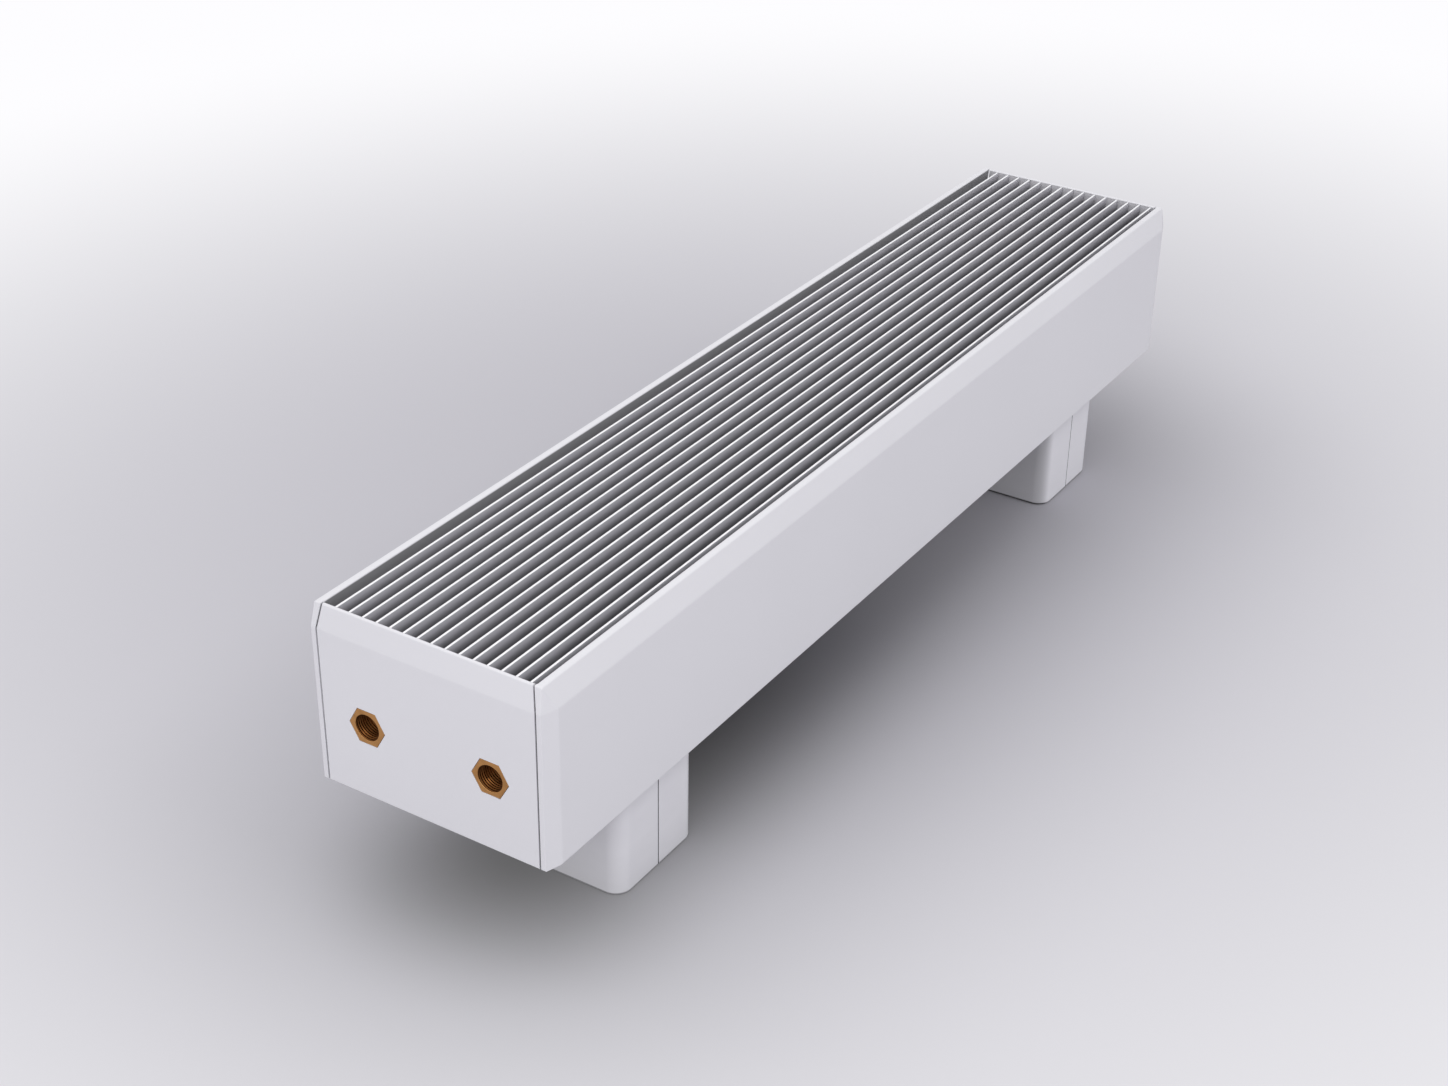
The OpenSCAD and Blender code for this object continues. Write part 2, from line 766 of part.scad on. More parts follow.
module supply_header() {
    color(brass) header(-axis_y, -1);
}

module return_header() {
    color(brass) header(axis_y, 1);
}

module air_vent_body() {
    color(steel) on_boss(axis_y, 1) vent_body();
}

module air_vent_spindle() {
    color(brass) on_boss(axis_y, 1) vent_spindle();
}

module drain_plug() {
    color(brass) on_boss(-axis_y, -1) {
        translate([0, 0, -port_l]) cylinder(d = port_d, h = port_l);
        linear_extrude(plug_h) hexagon(plug_af);
    }
}

module exchanger_pads() {
    color(rubber) for (x = yoke_x, s = [-1, 1]) saddle_trim(x + s * (yoke_l - yoke_t) / 2);
}

module ledge_strips() {
    color(rubber) for (s = [0, 1]) mirror([0, s, 0])
        block([strip_edge - outlet_x, outlet_y - ledge_w + strip_edge, ledge_top],
              [outlet_x - strip_edge, outlet_y - strip_edge, ledge_top + strip_t]);
}

module grille_slats() {
    color(aluminium) slats();
}

module grille_rods() {
    color(aluminium) for (x = rod_x) bar_y(x, rod_end_play - outlet_y, outlet_y - rod_end_play, rod_d / 2);
}

module grille_spacers() {
    color(aluminium) spacers();
}

module foot_post_left() {
    color(steel) foot_post(foot_x[0]);
}

module foot_post_right() {
    color(steel) foot_post(foot_x[1]);
}

module foot_bolts() {
    color(steel) for (x = foot_x) bolt_places(x) foot_bolt();
}

module foot_nuts() {
    color(steel) for (x = foot_x) bolt_places(x) foot_nut();
}

module floor_pads() {
    color(rubber) for (x = foot_x) difference() {
        block([x - base_l / 2, -base_w / 2, 0], [x + base_l / 2, base_w / 2, pad_floor_t]);
        anchor_holes(x);
    }
}

module cover_clips() {
    color(steel) for (x = foot_x, side = [0, 1]) cover_clip(x, side);
}

module foot_cover_left_outer() {
    color(white) cover_half(foot_x[0], 0);
}

module foot_cover_left_inner() {
    color(white) cover_half(foot_x[0], 1);
}

module foot_cover_right_inner() {
    color(white) cover_half(foot_x[1], 0);
}

module foot_cover_right_outer() {
    color(white) cover_half(foot_x[1], 1);
}

front_panel();
back_panel();
connection_end_panel();
blank_end_panel();
connection_end_frame();
blank_end_frame();
foot_yoke_left();
foot_yoke_right();
middle_yoke();
casing_screws();
fin_pack();
exchanger_end_plates();
heating_tubes();
return_bends();
supply_header();
return_header();
air_vent_body();
air_vent_spindle();
drain_plug();
exchanger_pads();
ledge_strips();
grille_slats();
grille_rods();
grille_spacers();
foot_post_left();
foot_post_right();
foot_bolts();
foot_nuts();
floor_pads();
cover_clips();
foot_cover_left_outer();
foot_cover_left_inner();
foot_cover_right_inner();
foot_cover_right_outer();
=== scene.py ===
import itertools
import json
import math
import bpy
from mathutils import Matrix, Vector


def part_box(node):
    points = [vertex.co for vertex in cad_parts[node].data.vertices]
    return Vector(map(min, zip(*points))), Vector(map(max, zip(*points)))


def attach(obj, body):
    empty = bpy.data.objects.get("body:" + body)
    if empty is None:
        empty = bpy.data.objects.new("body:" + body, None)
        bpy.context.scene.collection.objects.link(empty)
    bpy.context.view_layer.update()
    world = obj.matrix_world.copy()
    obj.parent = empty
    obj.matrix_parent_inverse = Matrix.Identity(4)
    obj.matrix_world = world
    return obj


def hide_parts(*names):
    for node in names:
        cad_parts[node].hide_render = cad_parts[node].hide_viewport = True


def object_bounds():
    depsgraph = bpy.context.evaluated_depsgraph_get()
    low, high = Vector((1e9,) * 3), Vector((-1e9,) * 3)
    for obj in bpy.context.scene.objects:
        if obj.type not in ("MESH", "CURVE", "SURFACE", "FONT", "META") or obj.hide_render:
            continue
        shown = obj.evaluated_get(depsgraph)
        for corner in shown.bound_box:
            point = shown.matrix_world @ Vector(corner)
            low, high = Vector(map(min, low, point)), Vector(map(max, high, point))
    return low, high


bl_info = {
    "name": "Freestanding convector",
    "version": (1, 0, 0),
    "blender": (4, 5, 0),
    "location": "View3D > Sidebar > Convector",
    "description": "Dresses the packed frame of a freestanding convector radiator",
    "category": "Object",
}

import bmesh
import bpy
from bpy.props import FloatProperty, FloatVectorProperty, IntProperty, PointerProperty
from mathutils import Matrix, Vector

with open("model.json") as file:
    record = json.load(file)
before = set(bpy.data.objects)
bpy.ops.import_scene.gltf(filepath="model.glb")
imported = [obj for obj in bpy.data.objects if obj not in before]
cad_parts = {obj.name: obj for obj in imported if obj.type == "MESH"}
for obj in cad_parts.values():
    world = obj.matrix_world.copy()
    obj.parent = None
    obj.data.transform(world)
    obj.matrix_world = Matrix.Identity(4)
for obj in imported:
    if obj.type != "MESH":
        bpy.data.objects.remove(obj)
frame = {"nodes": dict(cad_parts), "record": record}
CAD_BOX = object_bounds()
MM = 0.001

# Sizes of the CAD nodes that no box shows
TUBE_R = 7.5 * MM
POST_HALF_X, POST_HALF_Y = 20 * MM, 30 * MM
BASE_PLATE, HEAD_PLATE = 5 * MM, 4 * MM
BOLT_R, BOLT_FLATS, BOLT_HEAD = 4 * MM, 13 * MM, 5.3 * MM

# How far off the skin a face may be, the shortest fold at the top, and a corner's share of a fold
SKIN_GAP = 0.1 * MM
SHORTEST_FOLD = 20 * MM
CORNER_SHARE = 0.4

# How far in from the casing's faces the strip of painted shade that shows through a seam starts, and a
# header's nose's length
SEAM_X, SEAM_Y = 1.5 * MM, 0.1 * MM
NOSE = 7 * MM

# The floor's painted shadow: half the length of its change along the object, and where its next two shades
# end
SHADOW_TURN = 0.28
SHADOW_BESIDE_REACH = 0.165
SHADOW_REACH = 0.384

# The floor's fade to white: its middle, heading, stretch, and inner and outer reach
FADE_X, FADE_Y = 0.10, 0.15
FADE_HEADING = -0.29
FADE_STRETCH = 1.18
FADE_REACH = (0.18, 1.365)

# Where the lamps point, and the camera's place, then its heading, dip and roll in degrees
LAMPS_AIM = Vector((0, 0, 0.15))
CAMERA_PLACE = (-1.2970, -0.7427, 0.9378)
CAMERA_ANGLES = (32.197, 30.10, 0.892)


# Sizes and colours that a user may change


def setting(prop, **fixed):
    """A kind of setting, which takes a name, a description and a default."""
    return lambda name, description, default: prop(
        name=name, description=description, default=default, **fixed)


length = setting(FloatProperty, min=0.0, subtype="DISTANCE", unit="LENGTH")
colour = setting(FloatVectorProperty, min=0.0, max=1.0, size=3, subtype="COLOR")
share = setting(FloatProperty, min=0.0, max=1.0, subtype="FACTOR")
power = setting(FloatProperty, min=0.0, unit="POWER")
count = setting(IntProperty, min=2)


class CasingSettings(bpy.types.PropertyGroup):
    fold: length("Fold", "Width of the rounding at a fold of the casing's sheet", 1.1 * MM)
    cut_edge: length("Cut edge", "Width of the rounding at a cut edge of the sheet", 0.2 * MM)
    paint: colour("Paint", "Colour of the powder coat", (0.828, 0.822, 0.854))
    paint_roughness: share("Paint roughness", "Roughness of the powder coat", 0.46)
    paint_peel: length("Paint peel", "Height of the powder coat's fine waves", 0.008 * MM)
    spangle: length("Spangle", "Size of the zinc crystals on the galvanised sheet", 9 * MM)
    zinc: colour("Zinc", "Colour of the galvanised sheet", (0.52, 0.54, 0.56))


class GrilleSettings(bpy.types.PropertyGroup):
    slat_count: count("Slats", "Number of slats", 15)
    slat_pitch: length("Slat pitch", "Distance between the middles of neighbouring slats", 10.5 * MM)
    slat_thickness: length("Slat thickness", "Thickness of a slat", 1.6 * MM)
    slat_edge: length("Slat edge", "Radius of a slat's edges", 0.35 * MM)
    rod_count: count("Rods", "Number of cross rods", 5)
    collar_wall: length("Collar wall", "Wall of the spacer tubes on the rods", 0.7 * MM)
    sides: colour("Anodised sides", "Colour of the slats' sides", (0.60, 0.592, 0.63))
    # Painted highlight: the near-white colour painted on the slats' top edges
    edges: colour("Brushed edges", "Colour of the slats' top edges", (0.97, 0.97, 0.98))
    metal_roughness: share("Anodised roughness", "Roughness of the slats", 0.5)


class ExchangerSettings(bpy.types.PropertyGroup):
    fin_pitch: length("Fin pitch", "Distance between neighbouring fins", 5 * MM)
    fin_thickness: length("Fin thickness", "Thickness of a fin", 0.3 * MM)
    fin_ripple: length("Fin ripple", "Depth of the ripples pressed into a fin", 0.5 * MM)
    fin_waves: count("Fin ripples", "Number of ripples across a fin", 5)
    collar_height: length("Collar height", "Length of the collar drawn up round a tube", 1.6 * MM)
    fin_metal: colour("Fin metal", "Colour of the fins", (0.82, 0.83, 0.84))
    copper: colour("Copper", "Colour of the tubes", (0.80, 0.42, 0.27))
    brass: colour("Brass", "Colour of the headers", (0.63, 0.325, 0.115))
    thread_pitch: length("Thread pitch", "Pitch of the pipe thread in the headers", 1.814 * MM)


class FeetSettings(bpy.types.PropertyGroup):
    cover: colour("Cover", "Colour of the foot covers", (0.90, 0.892, 0.93))
    cover_edge: length("Cover edge", "Width of the rounding on the covers' edges", 0.45 * MM)
    steel_edge: length("Steel edge", "Width of the rounding on the posts' edges", 0.5 * MM)
    primer: colour("Primer", "Colour of the welded posts", (0.055, 0.06, 0.065))
    weld: length("Weld", "Radius of a weld bead", 1.8 * MM)


class StageSettings(bpy.types.PropertyGroup):
    # Painted shadow on the floor: the next three colours darken it under and beside the object
    floor_near: colour("Floor at the near end", "Floor under the object's near end", (0.03, 0.0294, 0.032))
    floor_under: colour("Floor at the far end", "Floor under the object's far end", (0.45, 0.442, 0.48))
    floor_beside: colour("Floor beside", "Floor close beside the object", (0.414, 0.407, 0.44))
    floor_far: colour("Far floor", "Floor away from the object", (0.62, 0.61, 0.65))
    ground: colour("Ground", "Background that the floor fades into", (0.985, 0.98, 1.0))
    sky: share("Sky", "Strength of the even light from all round", 0.72)
    key: power("Key", "Power of the large lamp overhead", 7.0)
    end: power("End", "Power of the lamp that faces the near end", 19.0)
    front: power("Front", "Power of the lamp that faces the front", 9.0)
    lens: FloatProperty(name="Lens", description="Focal length of the camera", default=55.995, min=10.0)


# Node trees, with sums written as sums


def written(operation):
    """A method that makes a node for the sum of its two values."""
    return lambda self, other: self.calc(operation, other)


class Wire:
    """An output socket that takes part in Python sums."""

    def __init__(self, graph, socket):
        self.graph = graph
        self.socket = socket

    def calc(self, operation, *others):
        return self.graph.node("ShaderNodeMath", {"operation": operation}, self, *others)

    __add__ = __radd__ = written("ADD")
    __mul__ = __rmul__ = written("MULTIPLY")
    __sub__ = written("SUBTRACT")
    __truediv__ = written("DIVIDE")
    __pow__ = written("POWER")
    __lt__ = written("LESS_THAN")
    __gt__ = written("GREATER_THAN")

    def __rsub__(self, other):
        return self.graph.node("ShaderNodeMath", {"operation": "SUBTRACT"}, other, self)

    def __abs__(self):
        return self.calc("ABSOLUTE")

    def smooth(self, low, high):
        """A soft step from 0 at low to 1 at high, which falls where high is the lesser."""
        kind = {"interpolation_type": "SMOOTHSTEP"}
        return self.graph.node("ShaderNodeMapRange", kind, self, low, high, 0.0, 1.0)


class Graph:
    """A node tree whose nodes all come from one method."""

    def __init__(self, tree):
        self.tree = tree

    def node(self, kind, settings=None, *values, out=0, **named):
        made = self.tree.nodes.new(kind)
        for key, value in (settings or {}).items():
            setattr(made, key, value)
        for key, value in [*enumerate(values), *named.items()]:
            socket = made.inputs[key.replace("_", " ") if isinstance(key, str) else key]
            if isinstance(value, Wire):
                self.tree.links.new(value.socket, socket)
            elif value is not None:
                socket.default_value = value
        return Wire(self, made.outputs[out]) if len(made.outputs) else None

    def outputs(self, kind, *values):
        """All outputs of a new node, by name."""
        made = self.node(kind, None, *values).socket.node
        return {socket.name: Wire(self, socket) for socket in made.outputs}


class Finish(Graph):
    """A material, read at the object's own coordinates in metres."""

    def __init__(self, name):
        self.material = bpy.data.materials.new(name)
        self.material.use_nodes = True
        super().__init__(self.material.node_tree)
        self.tree.nodes.clear()
        self.place = self.node("ShaderNodeTexCoord", out="Object")

    def split(self):
        """The three coordinates."""
        return self.outputs("ShaderNodeSeparateXYZ", self.place).values()

    def stretched(self, x, y, z):
        return self.node("ShaderNodeMapping", None, self.place, None, None, (x, y, z))

    def noise(self, size, detail=2.0, place=None):
        """Cloudy values from 0 to 1, with clouds of about that size."""
        return self.node("ShaderNodeTexNoise", None, place or self.place, None, 1 / size, detail)

    def mix(self, factor, first, second):
        """A colour between two."""
        first, second = (tint if isinstance(tint, Wire) else solid(tint) for tint in (first, second))
        unused = (None,) * 5
        return self.node("ShaderNodeMix", {"data_type": "RGBA"}, factor, *unused, first, second, out=2)

    def bump(self, height, depth, normal=None):
        return self.node("ShaderNodeBump", None, 1.0, depth, None, height, normal)

    def surface(self, tone, rough, relief, metallic=1.0):
        """Joins a Principled surface to the output and returns the material."""
        return self.output(self.node(
            "ShaderNodeBsdfPrincipled", Base_Color=tone, Metallic=metallic, Roughness=rough, Normal=relief))

    def output(self, shader):
        self.node("ShaderNodeOutputMaterial", None, shader)
        return self.material


def tinted(tint, factor):
    return tuple(min(1.0, part * factor) for part in tint)


def solid(tint):
    return (*tint, 1.0)


# Finishes


def powder_coat(tint, roughness, peel, outlet, ledge):
    """Satin white powder coat: fine orange peel, a dusting of grain, a faint drift of tone, and painted shade
    that darkens the down-turns in the outlet below a thin top band."""
    coat = Finish("white_powder_coat")
    x, y, z = coat.split()
    # Painted shade: the down-turns inside the outlet are darkened below their top edge
    inside = (abs(x) < outlet.x - 0.2 * MM) * (abs(y) < outlet.y + 0.15 * MM) * (z > ledge)
    outlet_shade = inside * (1.0 - z.smooth(outlet.z - 1.4 * MM, outlet.z - 0.5 * MM))
    drift = coat.noise(140 * MM, 1.0)
    grain = coat.noise(0.5 * MM, 1.0)
    waves = coat.noise(1.7 * MM, 2.0)
    tone = coat.mix(drift, tinted(tint, 0.975), tinted(tint, 1.02))
    tone = coat.mix(grain.smooth(0.66, 0.8) * 0.25, tone, tinted(tint, 0.93))
    tone = coat.mix(outlet_shade, tone, tinted(tint, 0.32))
    rough = roughness - 0.05 + waves * 0.07 + grain * 0.03
    return coat.surface(tone, rough, coat.bump(waves + grain * 0.12, peel), 0.0)


def moulded_white(tint, seams, bottom, top):
    """Moulded plastic of the foot covers: a fine spark-eroded grain and faint flow marks, with painted shade
    in the gap where the halves meet, along the floor, on the sides that face each other and under the casing."""
    skin = Finish("moulded_white")
    x, _, z = skin.split()
    left, right = seams
    # Painted shade in the gap where the two halves of a cover meet
    seam_gap_shade = (abs(x - left) < 0.5 * MM) + (abs(x - right) < 0.5 * MM)
    inward = (x > 0.0) * (right + left) - left - abs(x)
    grain = skin.noise(0.35 * MM, 2.0)
    flow = skin.noise(30 * MM, 2.0, skin.stretched(1.0, 1.0, 3.0))
    tone = skin.mix(flow, tinted(tint, 0.97), tinted(tint, 1.01))
    # Painted shade: darker under the casing, along the floor, and on the sides that face each other beneath
    # the casing
    high = z.smooth(top - 34 * MM, top - 8 * MM) * 0.16
    low = z.smooth(bottom + 1.8 * MM, bottom + 0.6 * MM) * 0.7
    facing = inward.smooth(34 * MM, 43 * MM) * 0.4
    tone = skin.mix(high + low + facing + seam_gap_shade * 0.84, tone, tinted(tint, 0.05))
    rough = 0.42 + flow * 0.06 + grain * 0.05
    return skin.surface(tone, rough, skin.bump(grain, 0.006 * MM), 0.0)


def galvanised(tint, spangle, seam):
    """Zinc-coated sheet: crystals of differing greys with soft borders, rolling marks, and a dull dark strip
    of painted shade where the sheet shows through each seam of the panels."""
    sheet = Finish("galvanised_sheet")
    x, y, _ = sheet.split()
    # Painted shade on the strip of sheet that shows through each seam
    seam_strip_shade = (abs(x) > seam.x) * (abs(y) > seam.y)
    drift = sheet.node("ShaderNodeTexNoise", None, sheet.place, None, 0.5 / spangle, 2.0, out=1)
    drift = sheet.node("ShaderNodeVectorMath", {"operation": "SCALE"}, drift, Scale=spangle)
    bent = sheet.node("ShaderNodeVectorMath", {"operation": "ADD"}, sheet.place, drift)
    cells = sheet.node("ShaderNodeTexVoronoi", None, bent, None, 1 / spangle, out="Color")
    shade = sheet.outputs("ShaderNodeSeparateColor", cells)["Red"]
    rolled = sheet.noise(0.8 * MM, 2.0, sheet.stretched(0.04, 1.0, 1.0))
    cloud = sheet.noise(45 * MM, 3.0)
    tone = sheet.mix(shade, tinted(tint, 0.82), tinted(tint, 1.18))
    tone = sheet.mix(cloud * 0.5, tone, tinted(tint, 1.05))
    tone = sheet.mix(seam_strip_shade, tone, tinted(tint, 0.12))
    rough = 0.34 + shade * 0.16 + rolled * 0.08
    return sheet.surface(tone, rough, sheet.bump(shade * 0.5 + rolled, 0.006 * MM), 0.9 - seam_strip_shade * 0.9)


def anodised(sides, edges, roughness, top):
    """Anodised aluminium: dull drawn sides with fine lines along the slats, darkened towards their feet as
    painted shade, and brush-finished top edges, less rough and more metallic, painted near white as a painted
    highlight."""
    metal = Finish("anodised_aluminium")
    lines = metal.noise(0.25 * MM, 3.0, metal.stretched(0.004, 1.0, 1.0))
    bloom = metal.noise(18 * MM, 2.0, metal.stretched(0.15, 1.0, 1.0))
    _, _, height = metal.split()
    brushed_and_highlit = height.smooth(top - 0.5 * MM, top - 0.1 * MM)
    # Painted shade: the sides darken from near their top towards their feet
    tone = metal.mix(height.smooth(top - 11 * MM, top - 0.5 * MM), tinted(sides, 0.12), tinted(sides, 1.2))
    tone = metal.mix(lines * 0.35, tone, tinted(sides, 1.2))
    # Painted highlight: the top edges take the near-white edge colour, and they are also less rough and more
    # metallic
    tone = metal.mix(brushed_and_highlit, tone, edges)
    rough = roughness - 0.05 + lines * 0.1 + bloom * 0.05 - brushed_and_highlit * 0.08
    return metal.surface(tone, rough, metal.bump(lines, 0.004 * MM), 0.35 + brushed_and_highlit * 0.4)


def fin_foil(tint):
    """Thin rolled aluminium with a bright mill finish and a trace of drawing oil."""
    foil = Finish("fin_foil")
    rolled = foil.noise(0.4 * MM, 2.0, foil.stretched(1.0, 0.02, 1.0))
    oil = foil.noise(22 * MM, 3.0)
    tone = foil.mix(oil.smooth(0.45, 0.75), tint, tinted(tint, 0.9))
    rough = 0.24 + rolled * 0.14 + oil * 0.06
    return foil.surface(tone, rough, foil.bump(rolled, 0.004 * MM))


def drawn_copper(tint):
    """Bright drawn copper that has started to turn: drawing lines, dull clouds, darker patches."""
    tube = Finish("drawn_copper")
    lines = tube.noise(0.35 * MM, 2.0, tube.stretched(0.01, 1.0, 1.0))
    cloud = tube.noise(16 * MM, 4.0)
    dull = cloud.smooth(0.45, 0.7)
    tone = tube.mix(dull, tint, (0.42, 0.19, 0.11))
    tone = tube.mix(lines * 0.3, tone, tinted(tint, 1.1))
    rough = 0.22 + dull * 0.22 + lines * 0.08
    return tube.surface(tone, rough, tube.bump(lines, 0.005 * MM))


def turned_brass(tint, thread_pitch, headers):
    """Machined brass: facing rings on the noses, a pipe thread in the sockets, light tarnish, and painted
    shade that darkens the sockets and their thread grooves.
    """
    metal = Finish("turned_brass")
    x, y, z = metal.split()
    nearest = abs(y) - headers["axis_y"]
    across = z - headers["axis_z"]
    radius = (nearest ** 2.0 + across ** 2.0).calc("SQRT")
    depth = x - headers["face_x"]
    socket_shade_and_thread = (depth > 0.4 * MM) * (depth < headers["socket_depth"]) * (radius < headers["socket_r"] + 0.3 * MM)
    ridge = (x / thread_pitch + across.calc("ARCTAN2", nearest) / math.tau).calc("PINGPONG", 0.5) * 2.0
    rings = metal.noise(0.18 * MM, 1.0, metal.node("ShaderNodeCombineXYZ", None, radius, 0.0, 0.0))
    face = depth < 0.25 * MM
    cloud = metal.noise(9 * MM, 3.0)
    tarnish = cloud.smooth(0.42, 0.75)
    tone = metal.mix(tarnish, tint, tinted(tint, 0.78))
    # Painted shade: the sockets are darkened, and their thread grooves darker still
    tone = metal.mix(socket_shade_and_thread, tone, (0.19, 0.075, 0.022))
    tone = metal.mix(socket_shade_and_thread * (1.0 - ridge) * 0.4, tone, (0.05, 0.02, 0.008))
    rough = 0.3 + tarnish * 0.14 + rings * face * 0.1
    relief = metal.bump(ridge * socket_shade_and_thread, 0.5 * MM)
    relief = metal.bump(rings * face, 0.01 * MM, relief)
    return metal.surface(tone, rough, relief)


def plated_steel():
    """Zinc-plated steel fasteners: bright, with a milky bloom and tiny pits."""
    tint = (0.60, 0.61, 0.63)
    steel = Finish("zinc_plated_steel")
    bloom = steel.noise(3 * MM, 3.0)
    pits = steel.noise(0.4 * MM, 1.0).smooth(0.62, 0.74)
    tone = steel.mix(bloom, tinted(tint, 0.9), tinted(tint, 1.1))
    tone = steel.mix(pits * 0.4, tone, tinted(tint, 0.6))
    return steel.surface(tone, 0.26 + bloom * 0.16, steel.bump(pits, -0.01 * MM))


def primed_steel(tint):
    """Dark primer on welded steel: an uneven dry film, lighter where it is thin at rubbed spots."""
    film = Finish("dark_primer")
    dry = film.noise(1.1 * MM, 3.0)
    cloud = film.noise(26 * MM, 3.0)
    rubbed = film.noise(5 * MM, 4.0).smooth(0.66, 0.74)
    tone = film.mix(cloud, tinted(tint, 0.8), tinted(tint, 1.3))
    tone = film.mix(rubbed * 0.5, tone, (0.19, 0.19, 0.19))
    return film.surface(tone, 0.55 + dry * 0.16, film.bump(dry, 0.03 * MM), 0.0)


def matt_rubber():
    """Black rubber: a dull skin with fine pores and a little chalky bloom."""
    skin = Finish("black_rubber")
    pores = skin.noise(0.6 * MM, 2.0)
    chalk = skin.noise(12 * MM, 3.0).smooth(0.45, 0.8)
    tone = skin.mix(chalk * 0.6, (0.022, 0.022, 0.024), (0.06, 0.06, 0.062))
    return skin.surface(tone, 0.7 + pores * 0.15, skin.bump(pores, 0.02 * MM), 0.0)


def weld_steel():
    """Weld bead under primer: scaly ripples, with brown tints from the heat."""
    bead = Finish("weld_bead")
    scale = bead.noise(1.4 * MM, 3.0)
    tone = bead.mix(scale.smooth(0.35, 0.7), (0.05, 0.045, 0.04), (0.16, 0.14, 0.12))
    return bead.surface(tone, 0.42 + scale * 0.2, bead.bump(scale, 0.08 * MM), 0.6)


def soft_solder():
    """Bright solder fillet with a frosty skin."""
    tin = Finish("soft_solder")
    frost = tin.noise(0.8 * MM, 3.0)
    tone = tin.mix(frost, (0.58, 0.57, 0.56), (0.75, 0.74, 0.72))
    return tin.surface(tone, 0.28 + frost * 0.2, tin.bump(frost, 0.03 * MM))


# Pieces


def scratch(name, mesh):
    """An object in the scene."""
    made = bpy.data.objects.new(name, mesh)
    bpy.context.scene.collection.objects.link(made)
    return made


def piece(name, mesh, body, finish=None, node=None):
    """A finished mesh becomes a piece that rides on its body, for a CAD node if one is named."""
    made = scratch(name, mesh)
    mesh.name = name
    if finish:
        mesh.materials.clear()
        mesh.materials.append(finish)
    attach(made, body)
    if node:
        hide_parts(node)


def evaluated(made):
    """The plain mesh that an object's modifiers make, in place of the object."""
    bpy.context.view_layer.update()
    graph = bpy.context.evaluated_depsgraph_get()
    mesh = bpy.data.meshes.new_from_object(made.evaluated_get(graph), depsgraph=graph)
    bpy.data.objects.remove(made)
    return mesh


def meshed(shape, name):
    """A mesh in place of a bmesh."""
    mesh = bpy.data.meshes.new(name)
    shape.to_mesh(mesh)
    shape.free()
    return mesh


def cad_shape(nodes, reach):
    """A bmesh of some CAD nodes, with the points merged that lie within a reach of each other."""
    shape = bmesh.new()
    for node in nodes:
        shape.from_mesh(frame["nodes"][node].data)
    bmesh.ops.remove_doubles(shape, verts=shape.verts, dist=reach)
    return shape


def polished(mesh, name):
    """Smooth shading in which the large flat faces stay flat."""
    for polygon in mesh.polygons:
        polygon.use_smooth = True
    made = scratch(name, mesh)
    made.modifiers.new("Flat faces", "WEIGHTED_NORMAL").keep_sharp = True
    return evaluated(made)


def folded_over(mesh):
    """Whether a face's triangles cover more than the face, as they do where roundings cross."""
    mesh.calc_loop_triangles()
    covered = {}
    for triangle in mesh.loop_triangles:
        covered[triangle.polygon_index] = covered.get(triangle.polygon_index, 0.0) + triangle.area
    return any(
        area - mesh.polygons[i].area > 0.02 * area
        for i, area in covered.items()
        if len(mesh.polygons[i].vertices) > 4)


def softened(
        name, node, body, finish, wide, narrow=None, fold_share=None, within=None, edge_angle=28.0):
    """A piece from a CAD node with its outer edges rounded: folds wide, all others narrow, and
    both narrower where the roundings would cross."""
    narrow = narrow or wide
    for scale in (1.0, 0.7, 0.45, 0.25, 0.1):
        rounded = rounded_copy(name, node, wide * scale, narrow * scale, fold_share, within, edge_angle)
        if not folded_over(rounded):
            break
        bpy.data.meshes.remove(rounded)
    else:
        raise RuntimeError("no rounding fits " + node)
    piece(name, polished(rounded, name + "_polish"), body, finish, node)


def rounded_copy(name, node, wide, narrow, fold_share, within, edge_angle):
    """The mesh of a CAD node with its outer edges rounded."""
    shape = cad_shape([node], 0.002 * MM)
    bmesh.ops.dissolve_limit(shape, angle_limit=math.radians(0.4), verts=shape.verts, edges=shape.edges)
    weights = shape.edges.layers.float.new("bevel_weight_edge")
    for edge in shape.edges:
        if len(edge.link_faces) != 2 or not edge.is_convex or (within and not within(edge)):
            continue
        angle = math.degrees(edge.calc_face_angle(0.0))
        part = fold_share(edge) if fold_share and angle > 2.0 else 0.0
        if part:
            edge[weights] = part
        elif angle > edge_angle:
            edge[weights] = narrow / wide
    made = scratch(name + "_rough", meshed(shape, name))
    bevel = made.modifiers.new("Rounding", "BEVEL")
    bevel.limit_method = "WEIGHT"
    bevel.width = wide
    bevel.segments = 3
    bevel.use_clamp_overlap = False
    return evaluated(made)


def merged(name, meshes):
    """One mesh from several that share a finish."""
    shape = bmesh.new()
    for mesh in meshes:
        shape.from_mesh(mesh)
    return meshed(shape, name)


def circle(radius, height, sides):
    """Points round the upright axis."""
    turns = [math.tau * i / sides for i in range(sides)]
    return [(radius * math.cos(turn), radius * math.sin(turn), height) for turn in turns]


def banded(shape, low, high):
    """Faces between two rings of points, of which one may be a single point."""
    sides = max(len(low), len(high))
    for i in range(sides):
        j = (i + 1) % sides
        if len(low) == 1:
            shape.faces.new((low[0], high[j], high[i]))
        elif len(high) == 1:
            shape.faces.new((low[i], low[j], high[0]))
        else:
            shape.faces.new((low[i], low[j], high[j], high[i]))


def turned(outline, sides):
    """A turned shape from (radius, height) points, closed on the axis or else joined into a ring."""
    shape = bmesh.new()
    rings = []
    for radius, height in outline:
        places = circle(radius, height, sides) if radius > 1e-9 else [(0, 0, height)]
        rings.append([shape.verts.new(place) for place in places])
    if len(rings[0]) > 1:
        rings.append(rings[0])
    for low, high in zip(rings, rings[1:]):
        banded(shape, low, high)
    bmesh.ops.recalc_face_normals(shape, faces=shape.faces)
    return shape


def ridges(crest, root, start, end, slope, turns):
    """A screw thread's outline, as rings that each slope from a crest down to a root."""
    outline = []
    for i in range(turns):
        height = start + (end - start) * i / turns
        outline += [(crest, height), (root, height + slope)]
    return outline


